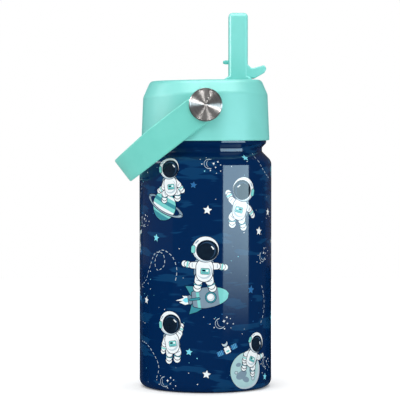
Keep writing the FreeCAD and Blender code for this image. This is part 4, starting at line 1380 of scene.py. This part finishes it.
    def _add_face_sheet(self, mesh: FacedMesh, level: float, loop: list[int], outline: Outline,
                        holes: list[Outline]) -> list[list[int]]:
        """Fill the inside or outside face, leaving the two pivot holes.

        Args:
            mesh: what the face is added to.
            level: the face's level through the thickness.
            loop: the points round its border.
            outline: the same border, flat.
            holes: the holes' outlines, flat.

        Returns:
            The points round each hole.
        """
        points = [Vector(point) for point in outline]
        faces = [list(range(len(points)))]
        for hole in holes:
            faces.append(list(range(len(points), len(points) + len(hole))))
            points.extend(Vector(point) for point in hole)
        count = round(self.total / self.step)
        for step in range(count + 1):
            along = self.total * step / count
            tall = self._top(along) + self.width / 2
            for row in range(1, self.face_rows):
                height = -self.width / 2 + tall * row / self.face_rows
                near = min(math.hypot(along, height), math.hypot(along - self.total, height))
                if near > self.hole_radius + self.hole_margin:
                    points.append(Vector((along, height)))
        flat, triangles, origins, owners = triangulate(points, faces)
        numbers: list[int] = []
        for index, point in enumerate(flat):
            known = [source for source in origins[index] if source < len(loop)]
            numbers.append(loop[known[0]] if known
                           else mesh.add_point(self._bent(point.x, point.y, level)))
        lean = math.copysign(90, level)
        for triangle, owner in zip(triangles, owners):
            if max(owner, default=1) > 0:       # in a hole, or in no outline at all
                continue
            order = triangle if level > 0 else triangle[::-1]
            mesh.add_face([numbers[index] for index in order],
                          [self._bent_normal(flat[index].x, Vector((0, 0)), lean)
                           for index in order])
        found = {source: numbers[index] for index, sources in enumerate(origins)
                 for source in sources}
        return [[found[source] for source in face] for face in faces[1:]]

    def _add_hole_walls(self, mesh: FacedMesh, rims: list[list[list[int]]],
                        holes: list[Outline]) -> None:
        """Join the two faces round each pivot hole."""
        for hole, outline in enumerate(holes):
            back, front = rims[0][hole], rims[1][hole]
            centre = outline[0][0] - self.hole_radius
            for index in range(len(back)):
                after = (index + 1) % len(back)
                sides = [self._bent_normal(centre, Vector((centre - outline[spot][0],
                                                           -outline[spot][1])).normalized(), 0)
                         for spot in (index, after)]
                mesh.add_face([back[after], back[index], front[index], front[after]],
                              [sides[1], sides[0], sides[0], sides[1]])


# ---------------------------------------------------------------- pieces that keep their shape
class SteelInside:
    """The vessel, base and vacuum fittings inside and under the can."""

    def build(self) -> None:
        """Finish the steel pieces."""
        dress(DrawnSteel("electropolished_steel", "#C6C3BE", 0.22, 0.5, 0.003), "inner_vessel")
        dress(DrawnSteel("circle_brushed_steel", "#BDBAB6", 0.3, 0.25, 0.008),
              "outer_base", "base_cover")
        dress(ClearMoulding("fused_glass_bead", "#5E6468", "#4C5256", 0.2, 0.3, 1.52),
              "vacuum_seal")
        dress(SinteredMetal("sintered_getter", "#4C4B4A", "#5F5D5A"), "getter")


class ScrewLid:
    """The moulded lid, its plug, seals and straw line."""

    def build(self) -> None:
        """Finish the lid's pieces."""
        dress(MouldedPlastic("moulded_polypropylene_lid", "#7DD7CF", "#7AD4CB", 0.36),
              "lid_shell")
        dress(MouldedPlastic("moulded_polypropylene_plug", "#86DAD3", "#7FD4CD", 0.44),
              "lid_core", "straw_socket")
        dress(ClearMoulding("pressed_silicone", "#E3E7E6", "#D6DCDB", 0.42, 0.25, 1.42),
              "lid_gasket", "spout_seal", "vent_valve")
        dress(ClearMoulding("extruded_straw_polypropylene", "#E8F2F2", "#DCE9EA", 0.22, 0.7, 1.49),
              "straw")


class FlipSpout:
    """The spout, its pins and its vent plug."""

    def build(self) -> None:
        """Finish the spout's pieces."""
        dress(MouldedPlastic("moulded_polypropylene_spout", "#80DBD3", "#7CD8CF", 0.33),
              "flip_spout")
        dress(DrawnSteel("centreless_ground_steel", "#BDBBB8", 0.25, 0.2, 0.002), "spout_pins")
        dress(SoftTouchRubber("soft_vent_elastomer", "#74CFC7", "#6CC8C0", 0.5), "vent_plug")


class PivotFittings:
    """The buttons, screws and bushes that the strap turns on."""

    def build(self) -> None:
        """Finish the pivots' pieces."""
        dress(FaceTurnedSteel("face_turned_steel", "#D2CECB", "#ABA6A2", PIVOT_Z),
              "button_front", "button_rear")
        dress(DrawnSteel("rolled_thread_steel", "#B4B2AF", 0.3, 0.3, 0.004),
              "pivot_screw_front", "pivot_screw_rear")
        dress(MouldedPlastic("moulded_acetal_bush", "#E8E8E2", "#DEDED7", 0.4),
              "pivot_bush_front", "pivot_bush_rear")


# ---------------------------------------------------------------- studio
@dataclass(frozen=True)
class SoftBox:
    """A glowing panel, curved round the bottle, that only shows as a reflection.

    Azimuths are degrees from the side that the camera is on, positive to the right.
    """

    name: str
    first: float
    last: float
    low: float
    high: float
    distance: float
    strength: float
    fade_from: float = 0.0      # height at which it starts to glow
    fade_to: float = 0.001      # height from which it glows fully
    tint: str = "#FFFFFF"
    columns: int = 24

    def build(self) -> None:
        """Make the panel."""
        columns = self.columns
        angles = [math.radians(self.first + (self.last - self.first) * step / columns)
                  for step in range(columns + 1)]
        points = [(self.distance * math.sin(angle), -self.distance * math.cos(angle), height)
                  for height in (self.low, self.high) for angle in angles]
        faces = [(step, step + 1, step + columns + 2, step + columns + 1)
                 for step in range(columns)]
        mesh = bpy.data.meshes.new(self.name)
        mesh.from_pydata(points, [], faces)
        panel = new_object(self.name, mesh)
        material = bpy.data.materials.new(f"{self.name}_glow")
        tree = empty_tree(material)
        place = add_node(tree, "ShaderNodeTexCoord").outputs["Object"]
        height = add_node(tree, "ShaderNodeSeparateXYZ", {"Vector": place}).outputs["Z"]
        glow = add_node(tree, "ShaderNodeMapRange",
                        {"Value": height, "From Min": self.fade_from, "From Max": self.fade_to,
                         "To Max": self.strength}, interpolation_type="SMOOTHSTEP")
        light = add_node(tree, "ShaderNodeEmission", {"Color": linear(self.tint),
                                                      "Strength": glow.outputs["Result"]})
        add_node(tree, "ShaderNodeOutputMaterial", {"Surface": light.outputs["Emission"]})
        mesh.materials.append(material)
        panel.visible_camera = False
        panel.visible_diffuse = False
        panel.visible_shadow = False
        panel.visible_transmission = False


@dataclass
class Studio:
    """Plain pale floor, soft light and the camera."""

    camera_place: tuple[float, float, float] = (-0.003, -1.156, 0.1455)
    camera_dip: float = 2.1
    lens: float = 188.0

    def build(self) -> None:
        """Set up floor, light and camera."""
        self._floor()
        self._surround()
        for box in (
                SoftBox("right_panel", 30, 79, -0.12, 0.2, 1.0, 7.4, -0.07, 0.06, "#CDF0FF"),
                SoftBox("left_wash", -140, -58, -0.12, 0.6, 1.0, 0.1),
                SoftBox("left_high_strip", -112, -68, 0.165, 0.7, 1.0, 8.0, 0.165, 0.2),
                SoftBox("back_wash", 128, 172, -0.12, 1.2, 1.0, 0.07)):
            box.build()
        self._area("front_top_light", (-0.25, -0.95, 1.05), 1.1, 0.6, 5.0, glossy=False)
        self._area("top_light", (0.0, 0.15, 1.25), 1.2, 1.2, 6.0, glossy=False)
        self._area("top_sheen", (0.1, -0.35, 1.1), 1.9, 1.2, 42.0, diffuse=False,
                   only=("lid_shell", "flip_spout", "carry_band"))
        self._area("spout_edge_light", (-0.75, -0.65, 0.35), 0.5, 0.6, 15.0, diffuse=False,
                   only=("flip_spout",))
        for button, side in (("button_front", -1), ("button_rear", 1)):
            for name, x, y, z, size, power in (("key", -0.56, 0.86, 0.36, 0.12, 4.0),
                                               ("left_spark", -0.11, 0.86, 0.52, 0.05, 1.0),
                                               ("right_spark", 0.2, 0.86, 0.58, 0.05, 1.0),
                                               ("fill", 0.0, 1.3, 0.3, 1.7, 2.0)):
                self._area(f"{button}_{name}", (x, side * y, z), size, size, power,
                           diffuse=False, only=(button,))
        self._camera()

    def _floor(self) -> None:
        """Lay a pale matt floor under the bottle."""
        bpy.ops.mesh.primitive_circle_add(vertices=96, radius=0.8, fill_type="NGON")
        floor = bpy.context.object
        floor.name = "floor"
        paint = Surface("matt_white_floor")
        paint.set(Base_Color=linear("#FAFAFA"), Roughness=0.9, Specular_IOR_Level=0.0,
                  Emission_Color=(1, 1, 1, 1), Emission_Strength=0.16)
        floor.data.materials.append(paint.material)
        floor.visible_glossy = False

    def _surround(self) -> None:
        """Light the scene evenly; the room is white to look at and dim in reflections."""
        world = bpy.data.worlds.new("studio_room")
        tree = empty_tree(world)
        path = add_node(tree, "ShaderNodeLightPath")
        shade: Any = (0.73, 0.74, 0.75, 1)
        for ray, colour in (("Is Glossy Ray", (0.025, 0.032, 0.04, 1)),
                            ("Is Camera Ray", (1.0, 1.0, 1.0, 1))):
            shade = add_node(tree, "ShaderNodeMix", {"Factor": path.outputs[ray], 6: shade,
                                                     7: colour}, data_type="RGBA").outputs[2]
        light = add_node(tree, "ShaderNodeBackground", {"Color": shade})
        add_node(tree, "ShaderNodeOutputWorld", {"Surface": light.outputs["Background"]})
        bpy.context.scene.world = world
        bpy.context.scene.view_settings.view_transform = "Standard"

    @staticmethod
    def _area(name: str, place: tuple[float, float, float], wide: float, deep: float,
              power: float, diffuse: bool = True, glossy: bool = True,
              only: tuple[str, ...] = ()) -> None:
        """Hang a soft light that points at the bottle's middle.

        Args:
            name: the light's name.
            place: where it hangs, in metres.
            wide: its width in metres.
            deep: its depth in metres.
            power: in watts.
            diffuse: whether it lights matt surfaces.
            glossy: whether it shows in highlights.
            only: the pieces that it falls on, or none for all; the rest is flagged off.
        """
        lamp = bpy.data.lights.new(name, "AREA")
        lamp.shape = "RECTANGLE"
        lamp.size, lamp.size_y = wide, deep
        lamp.energy = power
        hung = new_object(name, lamp)
        hung.location = place
        aim = Vector((0, 0, AIM_HEIGHT)) - Vector(place)
        hung.rotation_euler = aim.to_track_quat("-Z", "Y").to_euler()
        hung.visible_camera = False
        hung.visible_diffuse = diffuse
        hung.visible_glossy = glossy
        if only:
            lit = bpy.data.collections.new(f"{name}_falls_on")
            for piece in only:
                lit.objects.link(bpy.data.objects[piece])
            hung.light_linking.receiver_collection = lit

    def _camera(self) -> None:
        """Stand the camera in front, a little above the bottle's middle."""
        lens = bpy.data.cameras.new("camera")
        lens.lens = self.lens
        lens.sensor_width = 36.0
        camera = new_object("camera", lens)
        camera.location = self.camera_place
        camera.rotation_euler = (math.radians(90 - self.camera_dip), 0, 0)
        bpy.context.scene.camera = camera


def main() -> None:
    """Build every sub-assembly."""
    logging.basicConfig(level=logging.INFO, format="%(message)s")
    for part in (PrintedCan(), SteelInside(), ScrewLid(), FlipSpout(), PivotFittings(),
                 CarryStrap(), Studio()):
        part.build()
        log.info("built %s", type(part).__name__)


if __name__ == "__main__":
    main()
